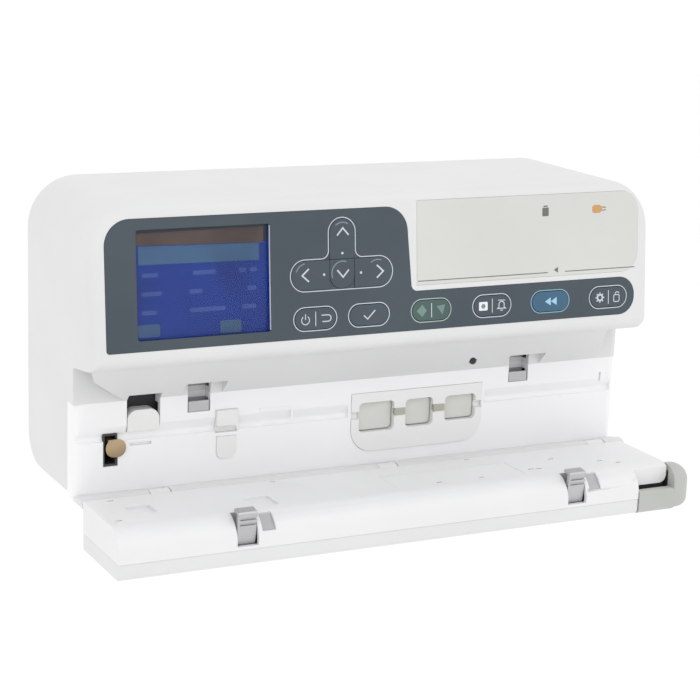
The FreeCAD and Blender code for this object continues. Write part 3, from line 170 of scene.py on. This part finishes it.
# name: colour, roughness, and what differs from a plain finish
FINISHES = {
    "casing_white": ((0.715, 0.718, 0.720), 0.44, dict(grain=1500, depth=0.10, drift=0.012)),
    "door_white": ((0.785, 0.788, 0.793), 0.40, dict(grain=1300, depth=0.06, drift=0.012)),
    # painted light: door_white, wall_white and window_white are the casing's white plastic made lighter, standing
    # for the light that falls on the door, the tube wall and the pump window
    "cover_white": ((0.722, 0.726, 0.729), 0.40, dict(grain=1300, depth=0.06, drift=0.012)),
    "wall_white": ((0.880, 0.882, 0.889), 0.42, dict(grain=1300, depth=0.06, drift=0.010)),
    "window_white": ((0.805, 0.807, 0.807), 0.30, dict(grain=1300, depth=0.05, drift=0.010)),
    "panel_blue_grey": ((0.050, 0.068, 0.086), 0.48, dict(grain=2200, depth=0.10, drift=0.06,
                                                          rough_drift=0.04)),
    "label_cream": ((0.635, 0.640, 0.610), 0.5, dict(grain=2000, depth=0.08, drift=0.02)),
    "key_dark": ((0.052, 0.070, 0.090), 0.44, dict(grain=2200, depth=0.10, drift=0.05)),
    "key_green": ((0.058, 0.105, 0.098), 0.42, dict(grain=2200, depth=0.10, drift=0.05)),
    "key_blue": ((0.038, 0.115, 0.195), 0.42, dict(grain=2200, depth=0.10, drift=0.05)),
    "screen_module": ((0.035, 0.037, 0.042), 0.5, dict(grain=1200, depth=0.15, drift=0.08)),
    "silicone_grey": ((0.3, 0.31, 0.32), 0.6, dict(drift=0.05)),
    "circuit_green": ((0.03, 0.2, 0.09), 0.4, dict(drift=0.1)),
    "finger_cream": ((0.655, 0.655, 0.62), 0.36, dict(grain=1400, depth=0.08, drift=0.04)),
    "latch_metal": ((0.50, 0.50, 0.51), 0.36, dict(metallic=0.75, grain=500, depth=0.08, drift=0.05,
                                                  stretch=(1, 1, 9))),
    "steel_brushed": ((0.55, 0.56, 0.57), 0.32, dict(metallic=1.0, grain=400, depth=0.12, drift=0.08,
                                                    stretch=(9, 1, 1), rough_drift=0.06)),
    "brass_plunger": ((0.50, 0.37, 0.23), 0.34, dict(metallic=0.9, grain=700, depth=0.10, drift=0.08)),
    # painted light: the sensors' white is the casing's white made lighter, like the tube wall round them
    "sensor_white": ((0.80, 0.80, 0.79), 0.4, dict(drift=0.02)),
    "handle_grey": ((0.47, 0.48, 0.455), 0.40, dict(grain=1200, depth=0.12, drift=0.03)),
    "dark_plastic": ((0.045, 0.045, 0.05), 0.45, dict(grain=1200, depth=0.2, drift=0.1)),
    "battery_blue": ((0.05, 0.12, 0.35), 0.3, dict(drift=0.06)),
    "clamp_metal": ((0.50, 0.51, 0.52), 0.45, dict(grain=900, depth=0.25, drift=0.04)),
    "rubber_black": ((0.03, 0.03, 0.03), 0.7, dict(grain=800, depth=0.3, drift=0.1)),
}
M = {name: finish_of(name, colour, roughness, **more) for name, (colour, roughness, more) in FINISHES.items()}
M["screen_glass"] = clear_glass("screen_glass", (0.02, 0.03, 0.05), 0.10)

# this light colour prints the key outlines and signs, and also paints a highlight along the screen opening's lower
# edge
LIGHT_PRINT_AND_HIGHLIGHT = print_and_highlight_coat("light_print_and_painted_highlight", (0.56, 0.60, 0.65), 0.05)
LINE_DARK = print_and_highlight_coat("print_dark", (0.16, 0.155, 0.145), 0.08, 0.55)
# this white prints the stop sign, and also paints a highlight along the screen opening's right edge
WHITE_PRINT_AND_HIGHLIGHT = print_and_highlight_coat("white_print_and_painted_highlight", (0.80, 0.83, 0.86), 0.04)
LINE_GREEN = print_and_highlight_coat("print_green", (0.16, 0.25, 0.22), 0.06)
LINE_SKY = print_and_highlight_coat("print_sky", (0.35, 0.58, 0.74), 0.05)
LINE_ORANGE = print_and_highlight_coat("print_orange", (0.62, 0.33, 0.13), 0.08)
# this soft colour prints the spot on the stop key, and also paints the sheen arcs on the arrow keys
SOFT_PRINT_AND_SHEEN = print_and_highlight_coat("soft_print_and_painted_sheen", (0.20, 0.24, 0.28), 0.06)
PALE_GREEN = finish_of("print_pale_green", (0.40, 0.50, 0.46), 0.5, drift=0.05)
PALE_BLUE = finish_of("print_pale_blue", (0.27, 0.44, 0.56), 0.5, drift=0.05)
DISPLAY_HEAD = finish_of("display_head", (0.035, 0.04, 0.05), 0.4)
LIT_FIELD = glow("lit_field", (0.003, 0.023, 0.188), 0.5, 0.16)
LIT_BROWN = glow("lit_brown", (0.072, 0.048, 0.038), 0.35, 0.35)
LIT_ROW = glow("lit_row", (0.038, 0.090, 0.180), 0.5, 0.16)
LIT_MARK = glow("lit_mark", (0.032, 0.062, 0.235), 0.55, 0.15)
LIT_BUTTON = glow("lit_button", (0.036, 0.080, 0.165), 0.5, 0.15)
# painted shade: a mid grey for the backs of the ports and of the hook wells
POCKET_SHADE = finish_of("pocket_painted_shade_grey", (0.46, 0.465, 0.47), 0.6, depth=0.1, drift=0.05)
# painted shade: a near black laid in the cavity under the head, at the ports' tops, in the latch gaps and in the
# sensor hole
SHADE = finish_of("painted_shade_dark", (0.020, 0.021, 0.024), 0.6, depth=0.1, drift=0.05)
# painted shade: a dark grey for the floors of the small recesses in the door and the platen
RECESS_SHADE = finish_of("recess_painted_shade", (0.085, 0.085, 0.092), 0.6, depth=0.1, drift=0.08)
PEG = finish_of("peg_olive", (0.43, 0.42, 0.35), 0.4, grain=1200, depth=0.1, drift=0.05)
# painted shade: a grey for the floors of the dimples in the door's lip
DIMPLE_SHADE = finish_of("dimple_painted_shade", (0.45, 0.45, 0.46), 0.5, grain=1200, depth=0.15, drift=0.06)

# ---------------------------------------------------- pieces


def linked(name, data):
    """A new object in the scene."""
    item = bpy.data.objects.new(name, data)
    bpy.context.scene.collection.objects.link(item)
    return item


def mesh_from(bm, name):
    """The finished mesh; the edit mesh is freed."""
    mesh = bpy.data.meshes.new(name)
    bm.to_mesh(mesh)
    bm.free()
    return mesh


def smooth_below(mesh, degrees):
    """Shades smoothly across edges that turn less than this."""
    for polygon in mesh.polygons:
        polygon.use_smooth = True
    mesh.set_sharp_from_angle(angle=math.radians(degrees))


def place_piece(mesh, material, body):
    """A piece of its own, named after its mesh, riding on a body."""
    mesh.materials.append(material)
    piece = linked(mesh.name, mesh)
    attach(piece, body)


def dress(node, edge):
    """Gives a CAD node its finish; with an edge width (mm), a copy with rounded edges stands for it."""
    source = frame["nodes"][node]
    material = M["cover_white" if node == "door_cover" else SLOT[node]]
    if not edge:
        source.data.materials.clear()
        source.data.materials.append(material)
        return
    bm = bmesh.new()
    bm.from_mesh(source.data)
    bmesh.ops.remove_doubles(bm, verts=bm.verts, dist=2e-6)
    bmesh.ops.dissolve_limit(bm, angle_limit=math.radians(0.4), verts=bm.verts, edges=bm.edges)
    mesh = mesh_from(bm, f"{node}_shape")
    smooth_below(mesh, 28)
    piece = linked(f"{node}_shape", mesh)
    round_off = piece.modifiers.new("edges", "BEVEL")
    round_off.width = edge * MM
    round_off.segments = 2
    round_off.limit_method = "ANGLE"
    round_off.angle_limit = math.radians(32)
    round_off.use_clamp_overlap = True
    round_off.harden_normals = True
    bpy.context.view_layer.update()
    shown = bpy.data.meshes.new_from_object(piece.evaluated_get(bpy.context.evaluated_depsgraph_get()))
    piece.modifiers.clear()
    piece.data = shown
    shown.materials.clear()
    shown.materials.append(material)
    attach(piece, BODY[node])
    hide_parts(node)


KEY_EDGE = 0.22
EDGES = {
    "tube_wall": 0.35, "pump_window": 0.6, "door_liner": 0.4, "door_cover": 0.5, "latch_handle": 1.6,
    "latch_hooks": 0.25, "latch_keepers": 0.15, "hinge_hood": 0.4, "base_cover": 0.4, "inlet_finger": 0.6,
    "pumping_finger": 0.6, "outlet_finger": 0.6, "platen": 0.08, "flow_clamp_plunger": 0.3,
    "flow_clamp_guide": 0.3, "pressure_sensor": 0.25, "tube_rest": 0.4, "clamp_body": 1.5, "clamp_jaw": 0.8,
    "clamp_knob": 2.0, "clamp_bolts": 0.4, "mains_inlet": 0.4, "data_port": 0.3, "rubber_feet": 0.6,
    "door_knuckles": 0.4, "hinge_brackets": 0.4,
}
KEYS = [node for node in BODY if node.startswith("key_") and node not in ("key_mats", "key_board")]
for node in BODY:
    dress(node, KEY_EDGE if node in KEYS else EDGES.get(node, 0.0))

# ---------------------------------------------------- flat shapes and lines


TILT = math.radians(5.36)
PANEL_AT = Vector((-140.8, -129.0, 4.1))
ALONG = Vector((1, 0, 0))
UP = Vector((0, math.sin(TILT), math.cos(TILT)))
OUT = Vector((0, -math.cos(TILT), math.sin(TILT)))


def on_panel(u, v, w):
    """A point of the leaning panel: along, up and out of it from its lower left corner (mm), given in m."""
    return (PANEL_AT + u * ALONG + v * UP + w * OUT) * MM


def arc(centre, radius, start, end, steps=10):
    """Points along an arc, angles in degrees."""
    turn = [math.radians(start + (end - start) * k / steps) for k in range(steps + 1)]
    return [(centre[0] + radius * math.cos(a), centre[1] + radius * math.sin(a)) for a in turn]


def rounded(corners, steps=12):
    """A closed outline from (u, v, radius) corners."""
    points = []
    count = len(corners)
    for k, (u, v, radius) in enumerate(corners):
        here = Vector((u, v))
        before = (Vector(corners[k - 1][:2]) - here).normalized()
        after = (Vector(corners[(k + 1) % count][:2]) - here).normalized()
        half = math.acos(max(-1, min(1, before.dot(after)))) / 2
        reach = radius / math.tan(half)
        start, end = here + before * reach, here + after * reach
        middle = here + (before + after).normalized() * (radius / math.sin(half))
        a, b = start - middle, end - middle
        sweep = math.atan2(a.x * b.y - a.y * b.x, a.dot(b))
        first = math.atan2(a.y, a.x)
        for step in range(steps + 1):
            angle = first + sweep * step / steps
            points.append((middle.x + radius * math.cos(angle), middle.y + radius * math.sin(angle)))
    return points


def pill(u0, u1, v0, v1, radius):
    """A rectangle with round corners."""
    return rounded([(u0, v0, radius), (u1, v0, radius), (u1, v1, radius), (u0, v1, radius)])


def extrude_face(bm, points, w0, w1, to_row):
    """A flat closed shape with a little thickness."""
    low = [bm.verts.new(to_row(u, v, w0)) for u, v in points]
    high = [bm.verts.new(to_row(u, v, w1)) for u, v in points]
    count = len(points)
    bm.faces.new(high)
    bm.faces.new(low[::-1])
    for k in range(count):
        n = (k + 1) % count
        bm.faces.new((low[k], low[n], high[n], high[k]))


def ribbon(bm, points, width, w0, w1, closed, to_row):
    """A line of even width with mitred turns, as a thin raised strip."""
    count = len(points)
    path = [Vector(p) for p in points]
    rows = []
    for k, here in enumerate(path):
        back = path[k - 1] if k or closed else None
        ahead = path[(k + 1) % count] if k < count - 1 or closed else None
        one = (here - back).normalized() if back is not None else (ahead - here).normalized()
        two = (ahead - here).normalized() if ahead is not None else one
        side = Vector((-(one.y + two.y), one.x + two.x)).normalized()
        spread = width / 2 / max(0.35, side.dot(Vector((-one.y, one.x))))
        rows.append([bm.verts.new(to_row(*(here + side * s * spread), w))
                     for s, w in ((-1, w0), (1, w0), (1, w1), (-1, w1))])
    pairs = list(zip(rows, rows[1:])) + ([(rows[-1], rows[0])] if closed else [])
    for a, b in pairs:
        for k in range(4):
            n = (k + 1) % 4
            bm.faces.new((a[k], b[k], b[n], a[n]))
    if not closed:
        bm.faces.new(rows[0])
        bm.faces.new(rows[-1][::-1])


def thin_sheet(name, material, body, level, shapes=(), lines=(), to_row=on_panel, thick=0.1):
    """One thin sheet, for prints and for patches of painted shade and highlight: filled shapes, and lines as
    (points, width, closed), from `level` out by `thick` (mm).
    """
    bm = bmesh.new()
    for points in shapes:
        extrude_face(bm, points, level, level + thick, to_row)
    for points, width, closed in lines:
        ribbon(bm, points, width, level, level + thick, closed, to_row)
    bmesh.ops.recalc_face_normals(bm, faces=bm.faces)
    place_piece(mesh_from(bm, name), material, body)


# ---------------------------------------------------- key outlines

OVERLAY_TOP = 0.1
OUTLINE_THICK = 0.12
PILLS = {
    "key_power": (91.5, 112.4), "key_ok": (119.7, 140.0), "key_start": (152.9, 173.3),
    "key_stop": (186.5, 206.7), "key_bolus": (219.4, 240.1), "key_menu": (253.2, 274.0),
}
PILL_V = 9.1
PILL_HALF = 4.9
RIM = 0.6
OUTLINE = 0.44


def pill_outline(key):
    """The line round a key of the lower row."""
    low, high = PILLS[key]
    half = PILL_HALF + RIM
    return pill(low - RIM, high + RIM, PILL_V - half, PILL_V + half, half - 0.02)


def outlined(name, material, outlines):
    """Closed lines on the overlay."""
    thin_sheet(name, material, "housing", OVERLAY_TOP, lines=[(points, OUTLINE, True) for points in outlines],
            thick=OUTLINE_THICK)


arrow_outline = rounded([
    (89.5, 21.9, 7.3), (142.4, 21.9, 7.3), (142.4, 36.7, 7.3), (122.9, 36.7, 3.6), (122.9, 55.5, 6.85),
    (109.0, 55.5, 6.85), (109.0, 36.7, 3.6), (89.5, 36.7, 7.3),
])
plain = [pill_outline(key) for key in ("key_power", "key_ok", "key_stop", "key_menu")]
outlined("key_outlines", LIGHT_PRINT_AND_HIGHLIGHT, [*plain, arrow_outline])
outlined("start_outline", PALE_GREEN, [pill_outline("key_start")])
outlined("bolus_outline", PALE_BLUE, [pill_outline("key_bolus")])

# ---------------------------------------------------- signs on the keys

KEY_TOP = 0.5


def key_sheet(name, key, shapes=(), lines=(), material=LIGHT_PRINT_AND_HIGHLIGHT, level=KEY_TOP, thick=0.1):
    """A thin sheet that moves with its key; it carries the key's prints and the painted sheen arcs of the arrow
    keys.
    """
    thin_sheet(name, material, key, level, shapes, lines, thick=thick)


def centre(key):
    """The middle of a key of the lower row."""
    return (PILLS[key][0] + PILLS[key][1]) / 2


def divider(key):
    """The upright stroke between a key's two signs."""
    return ([(centre(key), PILL_V - 3.4), (centre(key), PILL_V + 3.4)], 0.4, False)


CHEVRON = {"key_up": (116.3, 48.9, 0), "key_down": (116.3, 29.4, 180), "key_left": (97.0, 29.5, 90),
           "key_right": (135.6, 29.4, 270)}
for key, (u, v, turn) in CHEVRON.items():
    spin = Matrix.Rotation(math.radians(turn), 2)
    points = [tuple(Vector((u, v)) + spin @ Vector(p)) for p in ((-3.0, -1.7), (0, 1.7), (3.0, -1.7))]
    key_sheet(f"{key}_chevron", key, lines=[(points, 0.75, False)])
DOTS = {"key_up": (116.0, 38.9), "key_left": (106.5, 29.4), "key_right": (125.6, 29.3)}
for key, spot in DOTS.items():
    key_sheet(f"{key}_dot", key, [arc(spot, 0.62, 0, 330, 11)])

u = centre("key_power")
key_sheet("power_marks", "key_power", lines=[
    divider("key_power"),
    (arc((u - 5.2, PILL_V - 0.4), 2.0, 125, 415, 16), 0.45, False),
    ([(u - 5.2, PILL_V - 0.2), (u - 5.2, PILL_V + 2.5)], 0.45, False),
    ([(u + 3.0, PILL_V + 1.5), (u + 6.4, PILL_V + 1.5), *arc((u + 6.4, PILL_V), 1.5, 80, -80, 8),
      (u + 6.4, PILL_V - 1.5), (u + 3.4, PILL_V - 1.5)], 0.5, False),
])
u = centre("key_ok")
key_sheet("confirm_mark", "key_ok", lines=[
    ([(u - 2.9, PILL_V - 0.1), (u - 0.9, PILL_V - 1.9), (u + 3.1, PILL_V + 2.1)], 0.55, False)])
u = centre("key_start")
key_sheet("start_marks", "key_start", [
    [(u - 8.2, PILL_V), (u - 5.0, PILL_V + 2.9), (u - 2.6, PILL_V), (u - 5.0, PILL_V - 2.9)],
    [(u + 2.6, PILL_V + 1.8), (u + 7.4, PILL_V + 2.4), (u + 6.0, PILL_V - 2.4)],
], material=LINE_GREEN)
key_sheet("start_divider", "key_start", lines=[divider("key_start")])
u = centre("key_stop")
key_sheet("stop_marks", "key_stop", [pill(u - 7.4, u - 2.6, PILL_V - 2.1, PILL_V + 2.1, 0.5)],
          material=WHITE_PRINT_AND_HIGHLIGHT)
key_sheet("stop_spot", "key_stop", [arc((u - 5.0, PILL_V), 1.15, 0, 345, 15)], material=SOFT_PRINT_AND_SHEEN,
          level=KEY_TOP + 0.1, thick=0.05)
key_sheet("mute_marks", "key_stop", lines=[
    divider("key_stop"),
    ([(u + 3.0, PILL_V - 1.6), (u + 3.8, PILL_V - 0.9), *arc((u + 5.2, PILL_V + 0.3), 1.5, 180, 0, 8),
      (u + 6.6, PILL_V - 0.9), (u + 7.4, PILL_V - 1.6)], 0.5, True),
    ([(u + 4.5, PILL_V - 2.5), (u + 5.9, PILL_V - 2.5)], 0.5, False),
    ([(u + 3.2, PILL_V + 2.5), (u + 7.2, PILL_V + 2.3)], 0.4, False),
])
u = centre("key_bolus")
key_sheet("bolus_marks", "key_bolus", [
    [(u - 3.2 + s, PILL_V), (u + 0.1 + s, PILL_V + 2.0), (u + 0.1 + s, PILL_V - 2.0)] for s in (0, 3.4)],
    material=LINE_SKY)
u = centre("key_menu")
key_sheet("menu_marks", "key_menu", lines=[
    divider("key_menu"),
    (arc((u - 5.0, PILL_V), 1.5, 0, 345, 15), 0.9, True),
    *[([(u - 5.0 + 2.0 * math.cos(a), PILL_V + 2.0 * math.sin(a)),
        (u - 5.0 + 2.6 * math.cos(a), PILL_V + 2.6 * math.sin(a))], 0.6, False)
      for a in (math.radians(45 * k) for k in range(8))],
    (pill(u + 3.2, u + 6.4, PILL_V - 2.5, PILL_V + 0.9, 0.6), 0.45, True),
    (arc((u + 5.2, PILL_V + 1.2), 1.15, 175, 20, 8), 0.45, False),
])

# ---------------------------------------------------- display

MODULE_TOP = -2.7
GLASS_SEAT = -0.95


def lit_print(name, material, shapes, level=MODULE_TOP + 0.08, thick=0.05):
    """A part of the lit picture, on the screen module."""
    thin_sheet(name, material, "housing", level, shapes, thick=thick)


def screen_border(name, material, start, end, width):
    """A thin wall along an edge of the screen opening, in a light colour that paints a highlight on that edge."""
    thin_sheet(name, material, "housing", GLASS_SEAT, lines=[([start, end], width, False)],
            thick=1.0)


lit_print("display_field", LIT_FIELD, [pill(14.0, 80.3, 4.6, 54.4, 0.5)], level=MODULE_TOP + 0.01, thick=0.06)
lit_print("display_title", LIT_BROWN, [[(14.9, 47.0), (77.3, 45.7), (77.3, 53.0), (14.9, 52.3)]])
lit_print("display_head", DISPLAY_HEAD,
          [[(14.9, 52.35), (77.4, 53.05), (77.4, 46.2), (79.4, 46.2), (79.4, 54.2), (14.9, 54.2)]])
lit_print("display_row", LIT_ROW, [[(16.7, 38.4), (75.1, 37.8), (75.1, 45.5), (16.7, 46.6)]])
lit_print("display_buttons", LIT_BUTTON, [pill(15.7, 26.4, 5.8, 11.6, 1.2), pill(55.5, 65.9, 5.4, 11.1, 1.0)])
# blurred lines of writing: how high each stands, and where its stretches start and end
LINES_OF_TEXT = {
    33.6: ((18.2, 26.0), (42.6, 53.8), (65.2, 68.6), (70.6, 74.0)),
    25.2: ((18.0, 27.6), (40.8, 47.2), (69.2, 73.6)),
    16.8: ((17.8, 25.0), (41.0, 58.2), (66.4, 73.4)),
}
lit_print("display_marks", LIT_MARK, [
    pill(low, high, v - 1.0, v + 1.0, 0.7) for v, spans in LINES_OF_TEXT.items() for low, high in spans])
# painted highlights: light lines along the right and lower edges of the screen opening
screen_border("display_edge_highlight", WHITE_PRINT_AND_HIGHLIGHT, (79.75, 5.0), (79.75, 54.0), 0.7)
screen_border("display_sill_highlight", LIGHT_PRINT_AND_HIGHLIGHT, (16.0, 4.5), (79.2, 4.5), 0.35)

# ---------------------------------------------------- label area

LABEL_TOP = 0.05


def label_print(name, material, shapes=(), lines=()):
    """A print on the pale label."""
    thin_sheet(name, material, "housing", LABEL_TOP, shapes, lines, thick=0.06)


label_print("label_lines", LINE_DARK, lines=[
    ([(156.0, 23.3), (228.4, 23.3)], 0.42, False), ([(238.3, 23.35), (279.4, 23.35)], 0.42, False)])
label_print("label_arrow", LINE_DARK, [[(231.8, 24.4), (234.2, 25.8), (234.2, 23.0)]])
label_print("battery_sign", LINE_DARK, [pill(225.0, 228.6, 51.0, 55.2, 0.4)],
            [([(225.6, 55.9), (228.0, 55.9)], 0.6, False)])
label_print("plug_sign", LINE_ORANGE, [
    [(253.9, 52.0), (255.2, 51.2), (258.4, 51.4), (259.6, 52.4), (259.6, 54.2), (258.4, 55.2), (255.2, 55.4),
     (253.9, 54.4)]])
label_print("plug_pins", LINE_DARK, lines=[
    ([(259.7, 54.1), (261.8, 53.9)], 0.45, False), ([(259.7, 52.5), (261.8, 52.7)], 0.45, False)])

# ---------------------------------------------------- small fittings of the tube wall and the door, and painted shade in their hollows and gaps

WALL_Y = -103.7
LIP_Y, LIP_Z, LIP_RADIUS = -153, -78.4, 11.2
DIMPLE_LOW, DIMPLE_HIGH, DIMPLE_MIDDLE = (math.radians(a) for a in (68, 22, 45))
SLOPE_HOLE = Vector((58, -109.3, -19.1))
UP_SLOPE = Vector((0, -0.691, 0.723))
OFF_SLOPE = Vector((0, -0.723, -0.691))
HOOK_WELL_Y = -155.1
LATCH_GAP_Y = -157.3
PADDLE_X = 144.38
RECESS_Z = -67.2
PORTS = (("left", -86.0), ("right", 88.2))
DOOR_RECESS_SHADES = ((-135.8, -120.8), (-142, -148.8), (-69.8, -151.5), (-54.6, -119.4), (72.8, -144.7), (77.2, -145.3),
              (113.3, -144.2), (51.1, -119.4), (91.5, -133.3), (120.6, -149.9))
PLATEN_RECESS_SHADES = ((19.9, -147.9), (43.2, -147.9))


def on_wall(x, z, out):
    """A point in front of the tube wall: across, up, and out of its face (mm) in the row frame (m)."""
    return Vector((x, WALL_Y - out, z)) * MM


def facing_front(y):
    """Points of an upright plane that faces the front, at this depth (mm)."""
    return lambda x, z, out: Vector((x, y - out, z)) * MM


def on_slope(u, v, out):
    """A point of the wedge's slope from the middle of its hole: along, up the slope, out of it (mm)."""
    return (SLOPE_HOLE + u * ALONG + v * UP_SLOPE + out * OFF_SLOPE) * MM


def on_lip(x, t, out):
    """A point of the flat floor of a dimple in the door's rounded lip (mm)."""
    a, b = (Vector((x, LIP_Y - LIP_RADIUS * math.sin(lean), LIP_Z + LIP_RADIUS * math.cos(lean)))
            for lean in (DIMPLE_LOW, DIMPLE_HIGH))
    away = Vector((0, -math.sin(DIMPLE_MIDDLE), math.cos(DIMPLE_MIDDLE)))
    return (a + (b - a) * t + away * out) * MM


def recess_floor(x, y, out):
    """A point of the floor of the door's and platen's small recesses, from its own x and y (mm)."""
    return Vector((x, y, RECESS_Z + out)) * MM


def dash(x, y):
    """The painted shade on the floor of one small recess."""
    return pill(x - 1.4, x + 1.4, y - 0.55, y + 0.55, 0.3)


# painted shade: a dark sheet at the back of the cavity under the head
thin_sheet("cavity_back_shade", SHADE, "housing", -7.0, [pill(-123, -104, -41.5, -20.5, 1)],
        to_row=on_wall, thick=0.5)
for side, x in PORTS:
    # painted shade: a grey sheet at the back of each port
    thin_sheet(f"{side}_port_back", POCKET_SHADE, "housing", -7.6, [pill(x - 6.6, x + 6.6, -35, -16.5, 1)],
            to_row=on_wall, thick=0.5)
    # painted shade: a grey sheet on the floor of each dimple in the door's lip
    thin_sheet(f"{side}_lip_dimple_shade", DIMPLE_SHADE, "door", 0.05,
            [[(x + 7.0, 0.03), (x + 13.2, 0.03), (x + 13.2, 0.97), (x + 7.0, 0.97)]],
            to_row=on_lip, thick=0.25)
for number, x in enumerate((20.75, 42.7)):
    thin_sheet(f"guide_peg_{number}", PEG, "housing", -1.2, [pill(x - 2.9, x + 2.9, -44.7, -41.1, 0.9)],
            to_row=on_wall, thick=1.9)
# painted shade: dark patches on the floors of the small recesses in the door and the platen
for body, spots in (("door", DOOR_RECESS_SHADES), ("platen", PLATEN_RECESS_SHADES)):
    thin_sheet(f"{body}_marks", RECESS_SHADE, body, 0.02, [dash(x, y) for x, y in spots],
            to_row=recess_floor, thick=0.2)
# painted shade: dark sheets in the gaps at the door's end and behind the latch paddle
thin_sheet("latch_gap_shade", SHADE, "door", 0.0, [[
    (123.7, -81.2), (143.2, -81.2), (143.2, -73.6), (142.2, -75.6), (140.3, -76.6), (123.7, -76.6)]],
    thick=0.15, to_row=facing_front(LATCH_GAP_Y))
thin_sheet("paddle_gap_shade", SHADE, "latch", 0.0, [pill(-159.6, -149.4, -80.0, -70.4, 1)],
        thick=0.15, to_row=lambda y, z, out: Vector((PADDLE_X - out, y, z)) * MM)
for side, x in PORTS:
    # painted shade: a grey sheet at the back of each hook's well in the door
    thin_sheet(f"{side}_hook_well", POCKET_SHADE, "door", 0.0, [pill(x - 5.6, x + 4.6, -72.6, -66.8, 0.3)],
            thick=0.2, to_row=facing_front(HOOK_WELL_Y))
    # painted shade: a dark sheet across the top of each port
    thin_sheet(f"{side}_port_shade", SHADE, "housing", -7.35, [pill(x - 6.6, x + 6.6, -23.4, -16.5, 1)],
            to_row=on_wall, thick=0.2)

# painted sheen: faint lighter arcs round the signs of the arrow keys, standing for highlights on the keys
for key, spot, start, end in (("key_up", (116.1, 47.6), 60, 130), ("key_left", (97.6, 29.4), 100, 160),
                              ("key_right", (134.4, 29.4), 70, 130), ("key_down", (116.1, 29.6), 70, 200)):
    key_sheet(f"{key}_sheen", key, lines=[(arc(spot, 5.6, start, end), 0.6, False)], material=SOFT_PRINT_AND_SHEEN,
              thick=0.08)

# the sensor's hole in the wedge's slope, with a low dark dome in it as painted shade; its outline is drawn out up
# the slope
LENS_RADIUS = 1.9
LENS_RISE = 1.2
LENS_SUNK = 0.5
LENS_RINGS = 5
LENS_SIDES = 20
LENS_SHAPE = Matrix(((1.2, -0.67), (-0.22, 1.9)))
bm = bmesh.new()
rings = []
for k in range(LENS_RINGS + 1):
    swing = math.radians(90 * k / LENS_RINGS)
    rings.append([])
    for n in range(LENS_SIDES if k < LENS_RINGS else 1):
        around = math.tau * n / LENS_SIDES
        u, v = LENS_SHAPE @ Vector((math.cos(around), math.sin(around))) * LENS_RADIUS * math.cos(swing)
        rings[-1].append(bm.verts.new(on_slope(u, v, LENS_RISE * math.sin(swing) - LENS_SUNK)))
for low, high in zip(rings, rings[1:]):
    for n in range(LENS_SIDES):
        m = (n + 1) % LENS_SIDES
        bm.faces.new([low[n], low[m], high[m], high[n]] if len(high) > 1 else [low[n], low[m], high[0]])
bm.faces.new(rings[0][::-1])
bmesh.ops.recalc_face_normals(bm, faces=bm.faces)
lens = mesh_from(bm, "slope_hole_shade")
smooth_below(lens, 40)
place_piece(lens, SHADE, "housing")

# ---------------------------------------------------- floor, light and camera

FLOOR_HALF = 6
FLOOR_Z = CAD_BOX[0][2] - 0.45
bm = bmesh.new()
bmesh.ops.create_grid(bm, x_segments=2, y_segments=2, size=FLOOR_HALF)
for vert in bm.verts:
    vert.co.z = FLOOR_Z
floor = linked("floor", mesh_from(bm, "floor"))
paper = finish_of("floor_paper", (0.99, 0.99, 0.99), 0.9, grain=300, depth=0.02, drift=0.004)
floor.data.materials.append(paper)

world = bpy.data.worlds.new("studio")
bpy.context.scene.world = world
world.use_nodes = True
world.node_tree.nodes["Background"].inputs["Color"].default_value = (1, 1, 1, 1)
world.node_tree.nodes["Background"].inputs["Strength"].default_value = 1.02


def soft_light(name, at, power, aim=(0, -0.1, 0), size=1.4):
    """A round area light looking at the machine."""
    lamp = bpy.data.lights.new(name, "AREA")
    lamp.shape = "DISK"
    lamp.size = size
    lamp.energy = power
    item = linked(name, lamp)
    item.location = at
    item.rotation_euler = (Vector(aim) - Vector(at)).to_track_quat("-Z", "Y").to_euler()


soft_light("key_light", (0.9, -1.5, 1.5), 4)
soft_light("fill_light", (-1.4, -0.9, 0.9), 2)

CAMERA_AT = (-0.43192, -0.93719, 0.21378)
YAW, PITCH, ROLL = (math.radians(a) for a in (26.97, 13.44, 1.99))
right = Vector((math.cos(YAW), -math.sin(YAW), 0))
ahead = Vector((math.sin(YAW) * math.cos(PITCH), math.cos(YAW) * math.cos(PITCH), -math.sin(PITCH)))
top = right.cross(ahead)
cam_right = math.cos(ROLL) * right + math.sin(ROLL) * top
cam_up = math.cos(ROLL) * top - math.sin(ROLL) * right
camera = linked("camera", bpy.data.cameras.new("camera"))
camera.data.sensor_width = 36
camera.data.lens = 102.3943
camera.data.clip_start = 0.05
turned = Matrix((cam_right, cam_up, -ahead)).transposed()
camera.matrix_world = Matrix.Translation(CAMERA_AT) @ turned.to_4x4()
bpy.context.scene.camera = camera
bpy.context.scene.view_settings.view_transform = "Standard"
